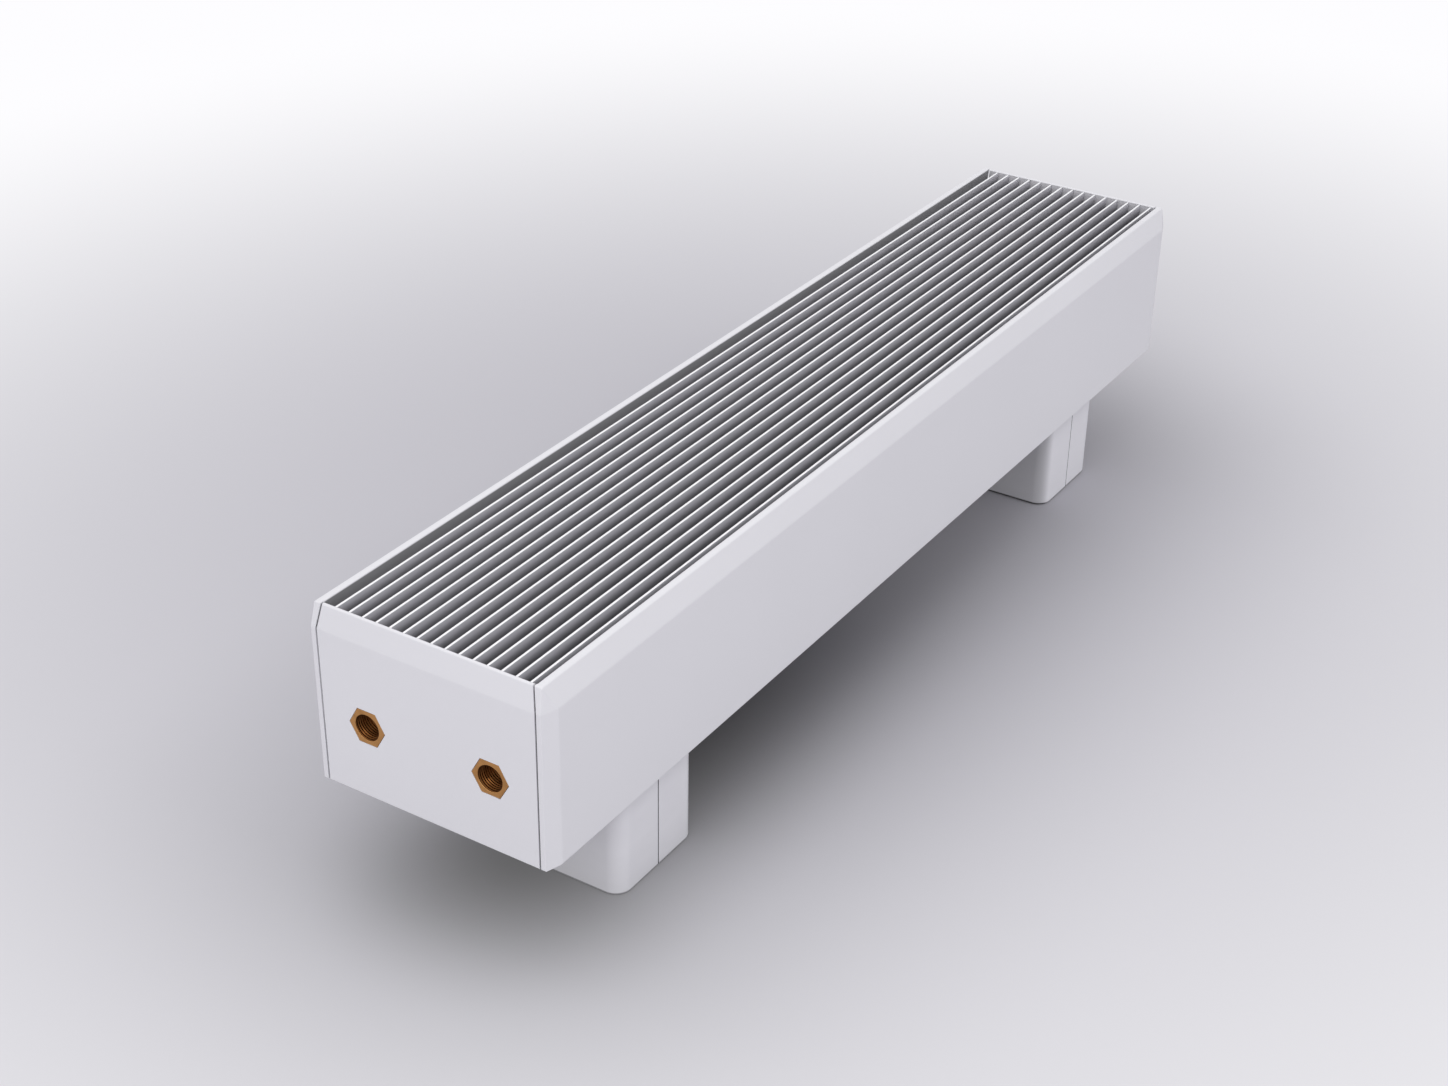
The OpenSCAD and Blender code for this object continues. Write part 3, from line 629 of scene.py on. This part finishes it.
def hexagonal(across, low, high, chamfer, bore=0.0, top_only=False):
    """A hexagonal bar with chamfered corners, and a bore if one is given."""
    sides = 48
    corner = across / math.sqrt(3)
    shape = bmesh.new()

    def ring(height, cut):
        verts = []
        for i in range(sides):
            angle = math.tau * i / sides
            flat = across / 2 / math.cos((angle % (math.pi / 3)) - math.pi / 6)
            reach = min(flat, corner - cut)
            verts.append(shape.verts.new((reach * math.cos(angle), reach * math.sin(angle), height)))
        return verts

    drop = chamfer * 0.55
    rings = [ring(low, 0.0 if top_only else chamfer)]
    if not top_only:
        rings.append(ring(low + drop, 0.0))
    rings += [ring(high - drop, 0.0), ring(high, chamfer)]
    if bore:
        rings += [[shape.verts.new(place) for place in circle(bore, height, sides)] for height in (high, low)]
        rings.append(rings[0])
    for below, above in zip(rings, rings[1:]):
        banded(shape, below, above)
    if not bore:
        shape.faces.new(list(reversed(rings[0])))
        shape.faces.new(rings[-1])
    bmesh.ops.recalc_face_normals(shape, faces=shape.faces)
    return shape


def sharp_smooth(mesh, angle):
    """Smooth shading with sharp edges kept above an angle."""
    for polygon in mesh.polygons:
        polygon.use_smooth = True
    mesh.set_sharp_from_angle(angle=math.radians(angle))
    return mesh


def shaped(shape, name, angle, matrix=None):
    """A smooth-shaded mesh from a bmesh, turned by a matrix if one is given."""
    if matrix is not None:
        bmesh.ops.transform(shape, matrix=matrix, verts=shape.verts)
    return sharp_smooth(meshed(shape, name), angle)


# Geometry trees for what repeats


class Maker(Graph):
    """A geometry tree with named inputs, run once on an object."""

    KINDS = {
        int: "NodeSocketInt", float: "NodeSocketFloat", tuple: "NodeSocketVector",
        bpy.types.Material: "NodeSocketMaterial", bpy.types.Object: "NodeSocketObject"}

    def __init__(self, name, finish, inputs):
        self.values = inputs | {"Finish": finish}
        super().__init__(bpy.data.node_groups.new(name, "GeometryNodeTree"))
        for way in ("INPUT", "OUTPUT"):
            self.tree.interface.new_socket("Geometry", in_out=way, socket_type="NodeSocketGeometry")
        self.sockets = {
            label: self.tree.interface.new_socket(
                label, in_out="INPUT", socket_type=self.KINDS[type(value)])
            for label, value in self.values.items()}
        self.start = self.tree.nodes.new("NodeGroupInput")

    def __getitem__(self, label):
        return Wire(self, self.start.outputs[label])

    def vector(self, x=0.0, y=0.0, z=0.0):
        return self.node("ShaderNodeCombineXYZ", None, x, y, z)

    def line(self, count, start, step):
        """Points in a row."""
        return self.node("GeometryNodeMeshLine", {"mode": "OFFSET"}, count, None, start, step)

    def copies(self, points, item, turn=None):
        """A copy of an item on each point."""
        return self.node("GeometryNodeInstanceOnPoints", None, points, None, item, None, None, turn)

    def result(self, geometry, source=None):
        """Realises and paints the geometry, and returns it as a plain mesh."""
        whole = self.node("GeometryNodeRealizeInstances", None, geometry)
        painted = self.node("GeometryNodeSetMaterial", None, whole, True, self["Finish"])
        self.node("NodeGroupOutput", None, painted)
        made = scratch(self.tree.name, source or bpy.data.meshes.new(self.tree.name))
        modifier = made.modifiers.new(self.tree.name, "NODES")
        modifier.node_group = self.tree
        for label, value in self.values.items():
            modifier[self.sockets[label].identifier] = value
        return evaluated(made)


def grid_of(
        name, item, finish, start, columns, column_step,
        rows=1, row_step=(0.0, 0.0, 0.0), spin=0.0, seed=1):
    """Copies of one item in columns and rows, each turned at random about its own upright axis."""
    holder = scratch(name + "_item", item)
    maker = Maker(name, finish, {
        "Item": holder, "Start": start, "Columns": columns, "Column step": column_step,
        "Rows": rows, "Row step": row_step, "Spin": spin, "Seed": seed})
    row = maker.line(maker["Columns"], maker["Start"], maker["Column step"])
    rank = maker.line(maker["Rows"], (0, 0, 0), maker["Row step"])
    points = maker.node("GeometryNodeRealizeInstances", None, maker.copies(rank, row))
    copy = maker.node("GeometryNodeObjectInfo", None, maker["Item"], out="Geometry")
    turn = maker.node(
        "FunctionNodeRandomValue", {"data_type": "FLOAT"},
        None, None, 0.0, maker["Spin"], Seed=maker["Seed"], out=1)
    mesh = maker.result(maker.copies(points, copy, maker.vector(z=turn)))
    bpy.data.objects.remove(holder)
    return mesh


def slat_row(name, grille, low, high, finish):
    """Slats with rounded edges, in a row across the outlet."""
    maker = Maker(name, finish, {
        "Length": high.x - low.x, "Height": high.z - low.z,
        "Thickness": grille.slat_thickness, "Edge": grille.slat_edge,
        "Pitch": grille.slat_pitch, "Count": grille.slat_count,
        "Start": (low.x, low.y + grille.slat_thickness / 2, (low.z + high.z) / 2)})
    section = maker.node(
        "GeometryNodeCurvePrimitiveQuadrilateral", {"mode": "RECTANGLE"}, maker["Thickness"], maker["Height"])
    section = maker.node("GeometryNodeFilletCurve", {"mode": "POLY"}, section, 3, maker["Edge"])
    line = maker.node("GeometryNodeCurvePrimitiveLine", None, (0, 0, 0), maker.vector(x=maker["Length"]))
    line = maker.node("GeometryNodeSetCurveNormal", {"mode": "Z_UP"}, line)
    slat = maker.node("GeometryNodeCurveToMesh", None, line, section, Fill_Caps=True)
    row = maker.line(maker["Count"], maker["Start"], maker.vector(y=maker["Pitch"]))
    return maker.result(maker.copies(row, slat))


def fin_stack(name, exchanger, low, high, number, finish):
    """Rippled fins in a stack along the tubes."""
    maker = Maker(name, finish, {
        "Width": high.y - low.y, "Height": high.z - low.z,
        "Thickness": exchanger.fin_thickness, "Ripple": exchanger.fin_ripple,
        "Waves": exchanger.fin_waves, "Pitch": exchanger.fin_pitch, "Count": number,
        "Start": (low.x + exchanger.fin_ripple / 2, 0.0, (low.z + high.z) / 2)})
    flat = maker.node("GeometryNodeMeshGrid", None, maker["Width"], maker["Height"], 21, 2)
    across, up, _ = maker.outputs("ShaderNodeSeparateXYZ", maker.node("GeometryNodeInputPosition")).values()
    phase = across / maker["Width"] * maker["Waves"] * math.tau
    wave = phase.calc("COSINE") * maker["Ripple"] * 0.5
    sheet = maker.node("GeometryNodeSetPosition", None, flat, None, maker.vector(wave, across, up))
    thickness = maker.vector(x=maker["Thickness"])
    front = maker.node("GeometryNodeExtrudeMesh", {"mode": "FACES"}, sheet, None, thickness, 1.0, False)
    back = maker.node("GeometryNodeFlipFaces", None, sheet)
    both = maker.node("GeometryNodeJoinGeometry")
    for side in (front, back):
        maker.tree.links.new(side.socket, both.socket.node.inputs[0])
    fin = maker.node("GeometryNodeMergeByDistance", None, both, None, 0.001 * MM)
    row = maker.line(maker["Count"], maker["Start"], maker.vector(x=maker["Pitch"]))
    return maker.result(maker.copies(row, fin))


def bead(name, points, radius, finish, wobble, seed):
    """A round bead along a closed path, which swells and thins a little, as a hand-laid one does."""
    path = bpy.data.meshes.new(name + "_path")
    path.from_pydata(points, [(i, (i + 1) % len(points)) for i in range(len(points))], [])
    maker = Maker(name, finish, {
        "Radius": radius, "Wobble": wobble, "Step": radius * 0.7, "Seed": float(seed)})
    line = maker.node("GeometryNodeMeshToCurve", None, maker["Geometry"])
    line = maker.node("GeometryNodeResampleCurve", {"mode": "LENGTH"}, line, None, None, maker["Step"])
    where = maker.node("GeometryNodeInputPosition")
    lumps = maker.node(
        "ShaderNodeTexNoise", {"noise_dimensions": "4D"}, where, maker["Seed"], 0.6 / radius, 2.0)
    swell = 1.0 + (lumps - 0.5) * 2.0 * maker["Wobble"]
    line = maker.node("GeometryNodeSetCurveRadius", None, line, None, swell)
    ring = maker.node("GeometryNodeCurvePrimitiveCircle", {"mode": "RADIUS"}, 10, Radius=maker["Radius"])
    thick = maker.node("GeometryNodeInputRadius")
    return maker.result(maker.node("GeometryNodeCurveToMesh", None, line, ring, thick, True), path)


# What the frame says


def header_sizes():
    """The headers' axes, front faces and sockets."""
    low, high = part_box("return_header")
    mount = frame["record"]["mounts"][0]
    return {
        "axis_y": (low.y + high.y) / 2, "axis_z": mount["pos_m"][2], "face_x": low.x,
        "socket_r": mount["dims"]["r_mm"] * MM, "socket_depth": mount["dims"]["length_mm"] * MM}


def tube_axes():
    """The tubes' two places across the casing, and their two heights."""
    low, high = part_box("heating_tubes")
    return (low.y + TUBE_R, high.y - TUBE_R), (low.z + TUBE_R, high.z - TUBE_R)


def skin_planes(nodes):
    """The planes of the convex form round some CAD nodes."""
    shape = cad_shape(nodes, 0.01 * MM)
    hull = bmesh.ops.convex_hull(shape, input=shape.verts)
    planes = {}
    for face in (item for item in hull["geom"] if isinstance(item, bmesh.types.BMFace)):
        key = tuple(round(part, 3) for part in face.normal)
        planes[key] = (face.normal.copy(), face.normal.dot(face.verts[0].co))
    shape.free()
    return list(planes.values())


def islands(node):
    """The middle of each separate piece of a CAD node."""
    shape = cad_shape([node], 0.002 * MM)
    left = set(shape.verts)
    middles = []
    while left:
        group, queue = [], [left.pop()]
        while queue:
            vert = queue.pop()
            group.append(vert.co.copy())
            for edge in vert.link_edges:
                other = edge.other_vert(vert)
                if other in left:
                    left.remove(other)
                    queue.append(other)
        low = Vector([min(co[i] for co in group) for i in range(3)])
        high = Vector([max(co[i] for co in group) for i in range(3)])
        middles.append((low + high) / 2)
    shape.free()
    return middles


PANELS = ("front_panel", "back_panel", "connection_end_panel", "blank_end_panel")
FRAMES = (
    "connection_end_frame", "blank_end_frame", "foot_yoke_left", "foot_yoke_right", "middle_yoke",
    "exchanger_end_plates")
COVERS = ("left_outer", "left_inner", "right_inner", "right_outer")


# Steps that several operators share


def repainted(node, finish):
    """A kept CAD node gets a finish in its slots."""
    for slot in frame["nodes"][node].material_slots:
        slot.material = finish


def fastener_steel():
    """The finish of all plated pieces, made once."""
    return bpy.data.materials.get("zinc_plated_steel") or plated_steel()


def fastened(name, item, node, height=0.0, spin=0.0, seed=1):
    """Copies of a fastener for a CAD node's, which lie in pairs across the casing's middle plane."""
    steel = fastener_steel()
    spots = sorted({(round(abs(middle.y), 5), round(middle.x, 5)) for middle in islands(node)})
    pairs = [
        grid_of(
            "%s_%d" % (name, i), item, steel, (x, -y, height), 1, (0, 0, 0),
            2, (0, 2 * y, 0), spin, seed + i)
        for i, (y, x) in enumerate(spots)]
    piece(name, merged(name, pairs), "casing", steel, node)


# Operators


class CONVECTOR_OT_panels(bpy.types.Operator):
    """Build the painted panels of the casing"""

    bl_idname = "convector.panels"
    bl_label = "Painted panels"

    def execute(self, context):
        sizes = context.scene.convector_casing
        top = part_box("front_panel")[1].z
        strips_low, strips_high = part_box("ledge_strips")
        outlet = Vector((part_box("grille_slats")[1].x + 0.5 * MM, strips_high.y + MM, top))
        # The outlet and the ledge bound the painted shade on the down-turns
        coat = powder_coat(
            sizes.paint, sizes.paint_roughness, sizes.paint_peel, outlet, strips_low.z - MM)
        planes = skin_planes(PANELS)

        def outside(face):
            middle = face.calc_center_median()
            return min(offset - normal.dot(middle) for normal, offset in planes) < SKIN_GAP

        def fold_share(edge):
            """1 at the casing's long folds, less at the crisper upright corners, and 0 off the skin."""
            on_skin = [outside(face) for face in edge.link_faces]
            at_top = all(abs(vert.co.z - top) < 0.02 * MM for vert in edge.verts)
            if not all(on_skin) and not (any(on_skin) and at_top and edge.calc_length() > SHORTEST_FOLD):
                return 0.0
            at_corner = any(min(abs(face.normal.x), abs(face.normal.y)) > 0.1 for face in edge.link_faces)
            return CORNER_SHARE if at_corner else 1.0

        for node in PANELS:
            softened(
                "painted_" + node, node, "casing", coat,
                sizes.fold, sizes.cut_edge, fold_share)
        return {"FINISHED"}


class CONVECTOR_OT_frames(bpy.types.Operator):
    """Build the galvanised frames, yokes and guard plates"""

    bl_idname = "convector.frames"
    bl_label = "Galvanised frames"

    def execute(self, context):
        sizes = context.scene.convector_casing
        ends_x, ends_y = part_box("blank_end_panel")[1].x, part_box("connection_end_panel")[1].y
        # Where the painted shade on the sheet that shows through the panels' seams starts
        seam = Vector((ends_x - SEAM_X, ends_y - SEAM_Y, 0.0))
        zinc = galvanised(sizes.zinc, sizes.spangle, seam)
        for node in FRAMES:
            softened("galvanised_" + node, node, "casing", zinc, sizes.cut_edge)
        rubber = matt_rubber()
        for node in ("exchanger_pads", "ledge_strips", "floor_pads"):
            repainted(node, rubber)
        return {"FINISHED"}


def pan_screw(head_r, head_h, shank_r, shank_l):
    """A pan-head screw that points up, with a round recess in its head."""
    dome = (
        (0.0, 0.45), (0.36, 0.45), (0.42, 1.0), (0.62, 0.97),
        (0.84, 0.8), (0.97, 0.5), (1.0, 0.2), (1.0, 0.0))
    head = [(radius * head_r, -height * head_h) for radius, height in dome]
    turns = 9
    slope = 0.45 * shank_l / turns
    thread = ridges(shank_r, shank_r * 0.86, shank_l * 0.06, shank_l * 0.92, slope, turns)
    tip = [(shank_r * 0.8, shank_l), (0.0, shank_l)]
    return turned([*head, (shank_r, 0.0), *thread, *tip], 24)


class CONVECTOR_OT_screws(bpy.types.Operator):
    """Build the casing's screws"""

    bl_idname = "convector.screws"
    bl_label = "Casing screws"

    def execute(self, context):
        low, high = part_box("casing_screws")
        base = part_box("front_panel")[0].z
        screw = shaped(pan_screw(4 * MM, base - low.z, 2 * MM, high.z - base), "pan_screw", 40)
        fastened("pan_head_screws", screw, "casing_screws", base, math.tau, 5)
        return {"FINISHED"}


class CONVECTOR_OT_grille(bpy.types.Operator):
    """Build the lift-out grille: slats, cross rods and spacer collars"""

    bl_idname = "convector.grille"
    bl_label = "Outlet grille"

    def execute(self, context):
        sizes = context.scene.convector_grille
        low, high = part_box("grille_slats")
        metal = anodised(sizes.sides, sizes.edges, sizes.metal_roughness, high.z)
        slats = polished(slat_row("slat_row", sizes, low, high, metal), "slats_polish")
        piece("rounded_slats", slats, "grille", node="grille_slats")

        rod_low, rod_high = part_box("grille_rods")
        radius = (rod_high.z - rod_low.z) / 2
        height = (rod_low.z + rod_high.z) / 2
        step = (rod_high.x - rod_low.x - 2 * radius) / (sizes.rod_count - 1)
        lying = Matrix.Rotation(-math.pi / 2, 4, "X")

        def crosswise(name, bore, outer, edge, sides, start, reach, rows=1):
            """Turned copies that lie across the slats, in line with the rods."""
            outline = [
                (bore, 0), (outer - edge, 0), (outer, edge),
                (outer, reach - edge), (outer - edge, reach), (bore, reach)]
            item = shaped(turned(outline, sides), name + "_item", 32, lying)
            place = (rod_low.x + radius, start, height)
            pitch = (0, sizes.slat_pitch, 0)
            return grid_of(name, item, metal, place, sizes.rod_count, (step, 0, 0), rows, pitch)

        rods = crosswise("rod_row", 0, radius, 0.5 * MM, 24, rod_low.y, rod_high.y - rod_low.y)
        piece("cross_rods", rods, "grille", node="grille_rods")

        half = sizes.slat_thickness / 2
        first = low.y + half
        last = first + (sizes.slat_count - 1) * sizes.slat_pitch
        inner = radius + 0.05 * MM
        outer = inner + sizes.collar_wall
        spans = (
            (first + half, sizes.slat_pitch - 2 * half, sizes.slat_count - 1),
            (rod_low.y, first - half - rod_low.y, 1),
            (last + half, rod_high.y - last - half, 1))
        collars = merged("spacer_collars", [
            crosswise("collar_row_%d" % i, inner, outer, 0.15 * MM, 20, start, reach, rows)
            for i, (start, reach, rows) in enumerate(spans)])
        piece("spacer_collars", collars, "grille", metal, "grille_spacers")
        return {"FINISHED"}


class CONVECTOR_OT_fins(bpy.types.Operator):
    """Build the fins and their collars"""

    bl_idname = "convector.fins"
    bl_label = "Fins"

    def execute(self, context):
        sizes = context.scene.convector_exchanger
        foil = fin_foil(sizes.fin_metal)
        low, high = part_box("fin_pack")
        gaps = int((high.x - low.x - sizes.fin_thickness) / sizes.fin_pitch)
        parts = [fin_stack("fin_stack", sizes, low, high, gaps + 1, foil)]
        reach = sizes.collar_height
        outline = [
            (TUBE_R, 0), (TUBE_R + 1.3 * MM, 0), (TUBE_R + 0.5 * MM, 0.5 * MM),
            (TUBE_R + 0.3 * MM, reach), (TUBE_R, reach)]
        ring = shaped(turned(outline, 14), "fin_collar", 50, Matrix.Rotation(math.pi / 2, 4, "Y"))
        sides, (lower, upper) = tube_axes()
        for i, side in enumerate(sides):
            parts.append(grid_of(
                "fin_collars_%d" % i, ring, foil, (low.x + sizes.fin_thickness, side, lower),
                gaps, (sizes.fin_pitch, 0, 0), 2, (0, 0, upper - lower)))
        piece("rippled_fins", merged("rippled_fins", parts), "casing", foil, "fin_pack")
        return {"FINISHED"}


class CONVECTOR_OT_pipework(bpy.types.Operator):
    """Finish the copper tubes and bends, and lay their solder"""

    bl_idname = "convector.pipework"
    bl_label = "Pipework"

    def execute(self, context):
        copper = drawn_copper(context.scene.convector_exchanger.copper)
        for node in ("heating_tubes", "return_bends"):
            repainted(node, copper)
        solder = soft_solder()
        sides, levels = tube_axes()
        ends = (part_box("return_bends")[0].x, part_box("return_header")[1].x)
        rings = []
        for y, z, x in itertools.product(sides, levels, ends):
            points = [(x, y + across, z + up) for across, up, _ in circle(TUBE_R + 0.2 * MM, 0, 24)]
            rings.append(bead("solder_%d" % len(rings), points, 0.55 * MM, solder, 0.3, len(rings)))
        piece("solder_rings", sharp_smooth(merged("solder_rings", rings), 80), "casing", solder)
        return {"FINISHED"}


class CONVECTOR_OT_headers(bpy.types.Operator):
    """Build the brass headers with their vent and drain"""

    bl_idname = "convector.headers"
    bl_label = "Headers, vent and drain"

    def execute(self, context):
        sizes = context.scene.convector_exchanger
        brass = turned_brass(sizes.brass, sizes.thread_pitch, header_sizes())
        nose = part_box("supply_header")[0].x + NOSE

        def at_nose(edge):
            return all(vert.co.x < nose for vert in edge.verts)

        for node in ("supply_header", "return_header"):
            softened("brass_" + node, node, "casing", brass, 0.3 * MM, within=at_nose)
        softened("brass_drain_plug", "drain_plug", "casing", brass, 0.35 * MM)
        softened("vent_body", "air_vent_body", "casing", fastener_steel(), 0.25 * MM)
        softened("vent_key_square", "air_vent_spindle", "vent_spindle", brass, 0.25 * MM)
        return {"FINISHED"}


class CONVECTOR_OT_feet(bpy.types.Operator):
    """Build the welded posts with their bolts, nuts and clips"""

    bl_idname = "convector.feet"
    bl_label = "Welded feet"

    def execute(self, context):
        sizes = context.scene.convector_feet
        primer = primed_steel(sizes.primer)
        weld = weld_steel()
        beads = []
        for node in ("foot_post_left", "foot_post_right"):
            softened("primed_" + node, node, "casing", primer, sizes.steel_edge)
            low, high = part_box(node)
            middle = (low.x + high.x) / 2
            left, right = middle - POST_HALF_X, middle + POST_HALF_X
            for level in (low.z + BASE_PLATE, high.z - HEAD_PLATE):
                corners = [
                    (left, -POST_HALF_Y, level), (right, -POST_HALF_Y, level),
                    (right, POST_HALF_Y, level), (left, POST_HALF_Y, level)]
                beads.append(bead("weld_%d" % len(beads), corners, sizes.weld, weld, 0.35, 11 + len(beads)))
        piece("weld_beads", sharp_smooth(merged("weld_beads", beads), 80), "casing", weld)
        softened("spring_clips", "cover_clips", "casing", fastener_steel(), 0.15 * MM)

        low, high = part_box("foot_bolts")
        nuts_low, nuts_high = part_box("foot_nuts")
        neck = low.z + BOLT_HEAD
        turns = 12
        slope = 0.45 * (high.z - nuts_low.z) / turns
        thread = ridges(BOLT_R, 3.5 * MM, nuts_low.z, high.z - 0.8 * MM, slope, turns)
        shank = turned([(0, neck), (BOLT_R, neck), *thread, (3.6 * MM, high.z), (0, high.z)], 24)
        head = hexagonal(BOLT_FLATS, -neck, -low.z, 0.8 * MM, top_only=True)
        upended = Matrix.Rotation(math.pi, 4, "X")
        bolt = merged("hex_bolt", [shaped(shank, "shank", 40), shaped(head, "head", 40, upended)])
        nut = hexagonal(BOLT_FLATS, nuts_low.z, nuts_high.z, 0.8 * MM, bore=BOLT_R + 0.1 * MM)
        fastened("hex_bolts", bolt, "foot_bolts")
        fastened("hex_nuts", shaped(nut, "hex_nut", 40), "foot_nuts")
        return {"FINISHED"}


class CONVECTOR_OT_covers(bpy.types.Operator):
    """Build the four halves of the foot covers"""

    bl_idname = "convector.covers"
    bl_label = "Foot covers"

    def execute(self, context):
        sizes = context.scene.convector_feet
        boxes = [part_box("foot_cover_" + cover) for cover in COVERS]
        seams = [(boxes[i][1].x + boxes[i + 1][0].x) / 2 for i in (0, 2)]
        bottom, top = (corner.z for corner in boxes[0])
        # The seams, bottom and top place the painted shade on the covers
        skin = moulded_white(sizes.cover, seams, bottom, top)
        for cover in COVERS:
            softened(
                "moulded_foot_cover_" + cover, "foot_cover_" + cover, cover + "_cover",
                skin, sizes.cover_edge, edge_angle=35.0)
        return {"FINISHED"}


def floor_paper(sizes):
    """Paper with a painted shadow round the object, darkest under its near end and lighter outwards, which
    fades into the white ground.
    """
    paper = Finish("floor_paper")
    x, y, _ = paper.split()
    past_end = (abs(x) - 0.8 * CAD_BOX[1].x).calc("MAXIMUM", 0.0)
    away = (past_end ** 2.0 + y ** 2.0) ** 0.5
    # Painted shadow: the floor darkens under and beside the object
    tone = paper.mix(x.smooth(-SHADOW_TURN, SHADOW_TURN), sizes.floor_near, sizes.floor_under)
    tone = paper.mix(away.smooth(0.0, SHADOW_BESIDE_REACH), tone, sizes.floor_beside)
    tone = paper.mix(away.smooth(0.0, SHADOW_REACH), tone, sizes.floor_far)
    off_x, off_y = x - FADE_X, y - FADE_Y
    along = off_x * math.cos(FADE_HEADING) + off_y * math.sin(FADE_HEADING)
    across = off_y * math.cos(FADE_HEADING) - off_x * math.sin(FADE_HEADING)
    fade = (((along / FADE_STRETCH) ** 2.0 + across ** 2.0) ** 0.5).smooth(*FADE_REACH)
    sheet = paper.node("ShaderNodeBsdfDiffuse", None, tone)
    seen = paper.outputs("ShaderNodeLightPath")["Is Camera Ray"]
    white = paper.node("ShaderNodeEmission", None, solid(sizes.ground), 1.0)
    return paper.output(paper.node("ShaderNodeMixShader", None, seen * fade, sheet, white))


def studio_air(sizes):
    """Even light from all round, and a white ground where the camera looks past the floor."""
    world = bpy.data.worlds.new("studio")
    world.use_nodes = True
    air = Graph(world.node_tree)
    air.tree.nodes.clear()
    path = air.outputs("ShaderNodeLightPath")
    seen = path["Is Camera Ray"] + path["Is Glossy Ray"]
    even = air.node("ShaderNodeBackground", None, solid((0.98, 0.98, 1.0)), sizes.sky)
    ground = air.node("ShaderNodeBackground", None, solid(sizes.ground), 1.0)
    air.node("ShaderNodeOutputWorld", None, air.node("ShaderNodeMixShader", None, seen, even, ground))
    return world


def soft_lamp(name, strength, place, width, depth):
    """A large lamp that points at the object."""
    lamp = bpy.data.lights.new(name, "AREA")
    lamp.energy = strength
    lamp.shape = "RECTANGLE"
    lamp.size = width
    lamp.size_y = depth
    light = bpy.data.objects.new(name, lamp)
    light.location = place
    light.rotation_euler = (LAMPS_AIM - light.location).to_track_quat("-Z", "Y").to_euler()
    return light


def photo_camera(focal_length):
    """A camera at the photograph's viewing angle."""
    lens = bpy.data.cameras.new("camera")
    lens.lens = focal_length
    lens.sensor_width = 36.0
    lens.sensor_fit = "HORIZONTAL"
    lens.clip_start = 0.01
    camera = bpy.data.objects.new("camera", lens)
    heading, dip, roll = (math.radians(angle) for angle in CAMERA_ANGLES)
    turn = Matrix.Rotation(heading - math.pi / 2, 4, "Z")
    tip = Matrix.Rotation(math.pi / 2 - dip, 4, "X")
    camera.matrix_world = Matrix.Translation(CAMERA_PLACE) @ turn @ tip @ Matrix.Rotation(roll, 4, "Z")
    return camera


class CONVECTOR_OT_stage(bpy.types.Operator):
    """Build the floor, the lights and the camera"""

    bl_idname = "convector.stage"
    bl_label = "Stage"

    def execute(self, context):
        scene = context.scene
        sizes = scene.convector_stage
        scene.view_settings.view_transform = "Standard"
        shape = bmesh.new()
        bmesh.ops.create_grid(shape, x_segments=8, y_segments=8, size=30.0)
        floor = scratch("floor", meshed(shape, "floor"))
        floor.data.materials.append(floor_paper(sizes))
        scene.world = studio_air(sizes)
        for light in (
                soft_lamp("overhead", sizes.key, (-0.4, 0.15, 2.1), 2.0, 1.4),
                soft_lamp("end", sizes.end, (-3.1, -0.7, 1.7), 1.8, 1.8),
                soft_lamp("front", sizes.front, (0.2, -2.5, 1.9), 1.8, 1.8)):
            scene.collection.objects.link(light)
        camera = photo_camera(sizes.lens)
        scene.collection.objects.link(camera)
        scene.camera = camera
        return {"FINISHED"}


STEPS = (
    CONVECTOR_OT_panels,
    CONVECTOR_OT_frames,
    CONVECTOR_OT_screws,
    CONVECTOR_OT_grille,
    CONVECTOR_OT_fins,
    CONVECTOR_OT_pipework,
    CONVECTOR_OT_headers,
    CONVECTOR_OT_feet,
    CONVECTOR_OT_covers,
    CONVECTOR_OT_stage,
)
SETTINGS = (
    ("convector_casing", CasingSettings),
    ("convector_grille", GrilleSettings),
    ("convector_exchanger", ExchangerSettings),
    ("convector_feet", FeetSettings),
    ("convector_stage", StageSettings),
)


class CONVECTOR_PT_sidebar(bpy.types.Panel):
    """Lists the steps and their settings"""

    bl_label = "Convector"
    bl_idname = "CONVECTOR_PT_sidebar"
    bl_space_type = "VIEW_3D"
    bl_region_type = "UI"
    bl_category = "Convector"

    def draw(self, context):
        for step in STEPS:
            self.layout.operator(step.bl_idname)
        for name, group in SETTINGS:
            box = self.layout.box()
            for prop in group.__annotations__:
                box.prop(getattr(context.scene, name), prop)


def register():
    for name, group in SETTINGS:
        bpy.utils.register_class(group)
        setattr(bpy.types.Scene, name, PointerProperty(type=group))
    for step in STEPS:
        bpy.utils.register_class(step)
    bpy.utils.register_class(CONVECTOR_PT_sidebar)


def unregister():
    bpy.utils.unregister_class(CONVECTOR_PT_sidebar)
    for step in reversed(STEPS):
        bpy.utils.unregister_class(step)
    for name, group in reversed(SETTINGS):
        delattr(bpy.types.Scene, name)
        bpy.utils.unregister_class(group)


def main():
    register()
    for step in STEPS:
        family, name = step.bl_idname.split(".")
        getattr(getattr(bpy.ops, family), name)()


if __name__ == "__main__":
    main()
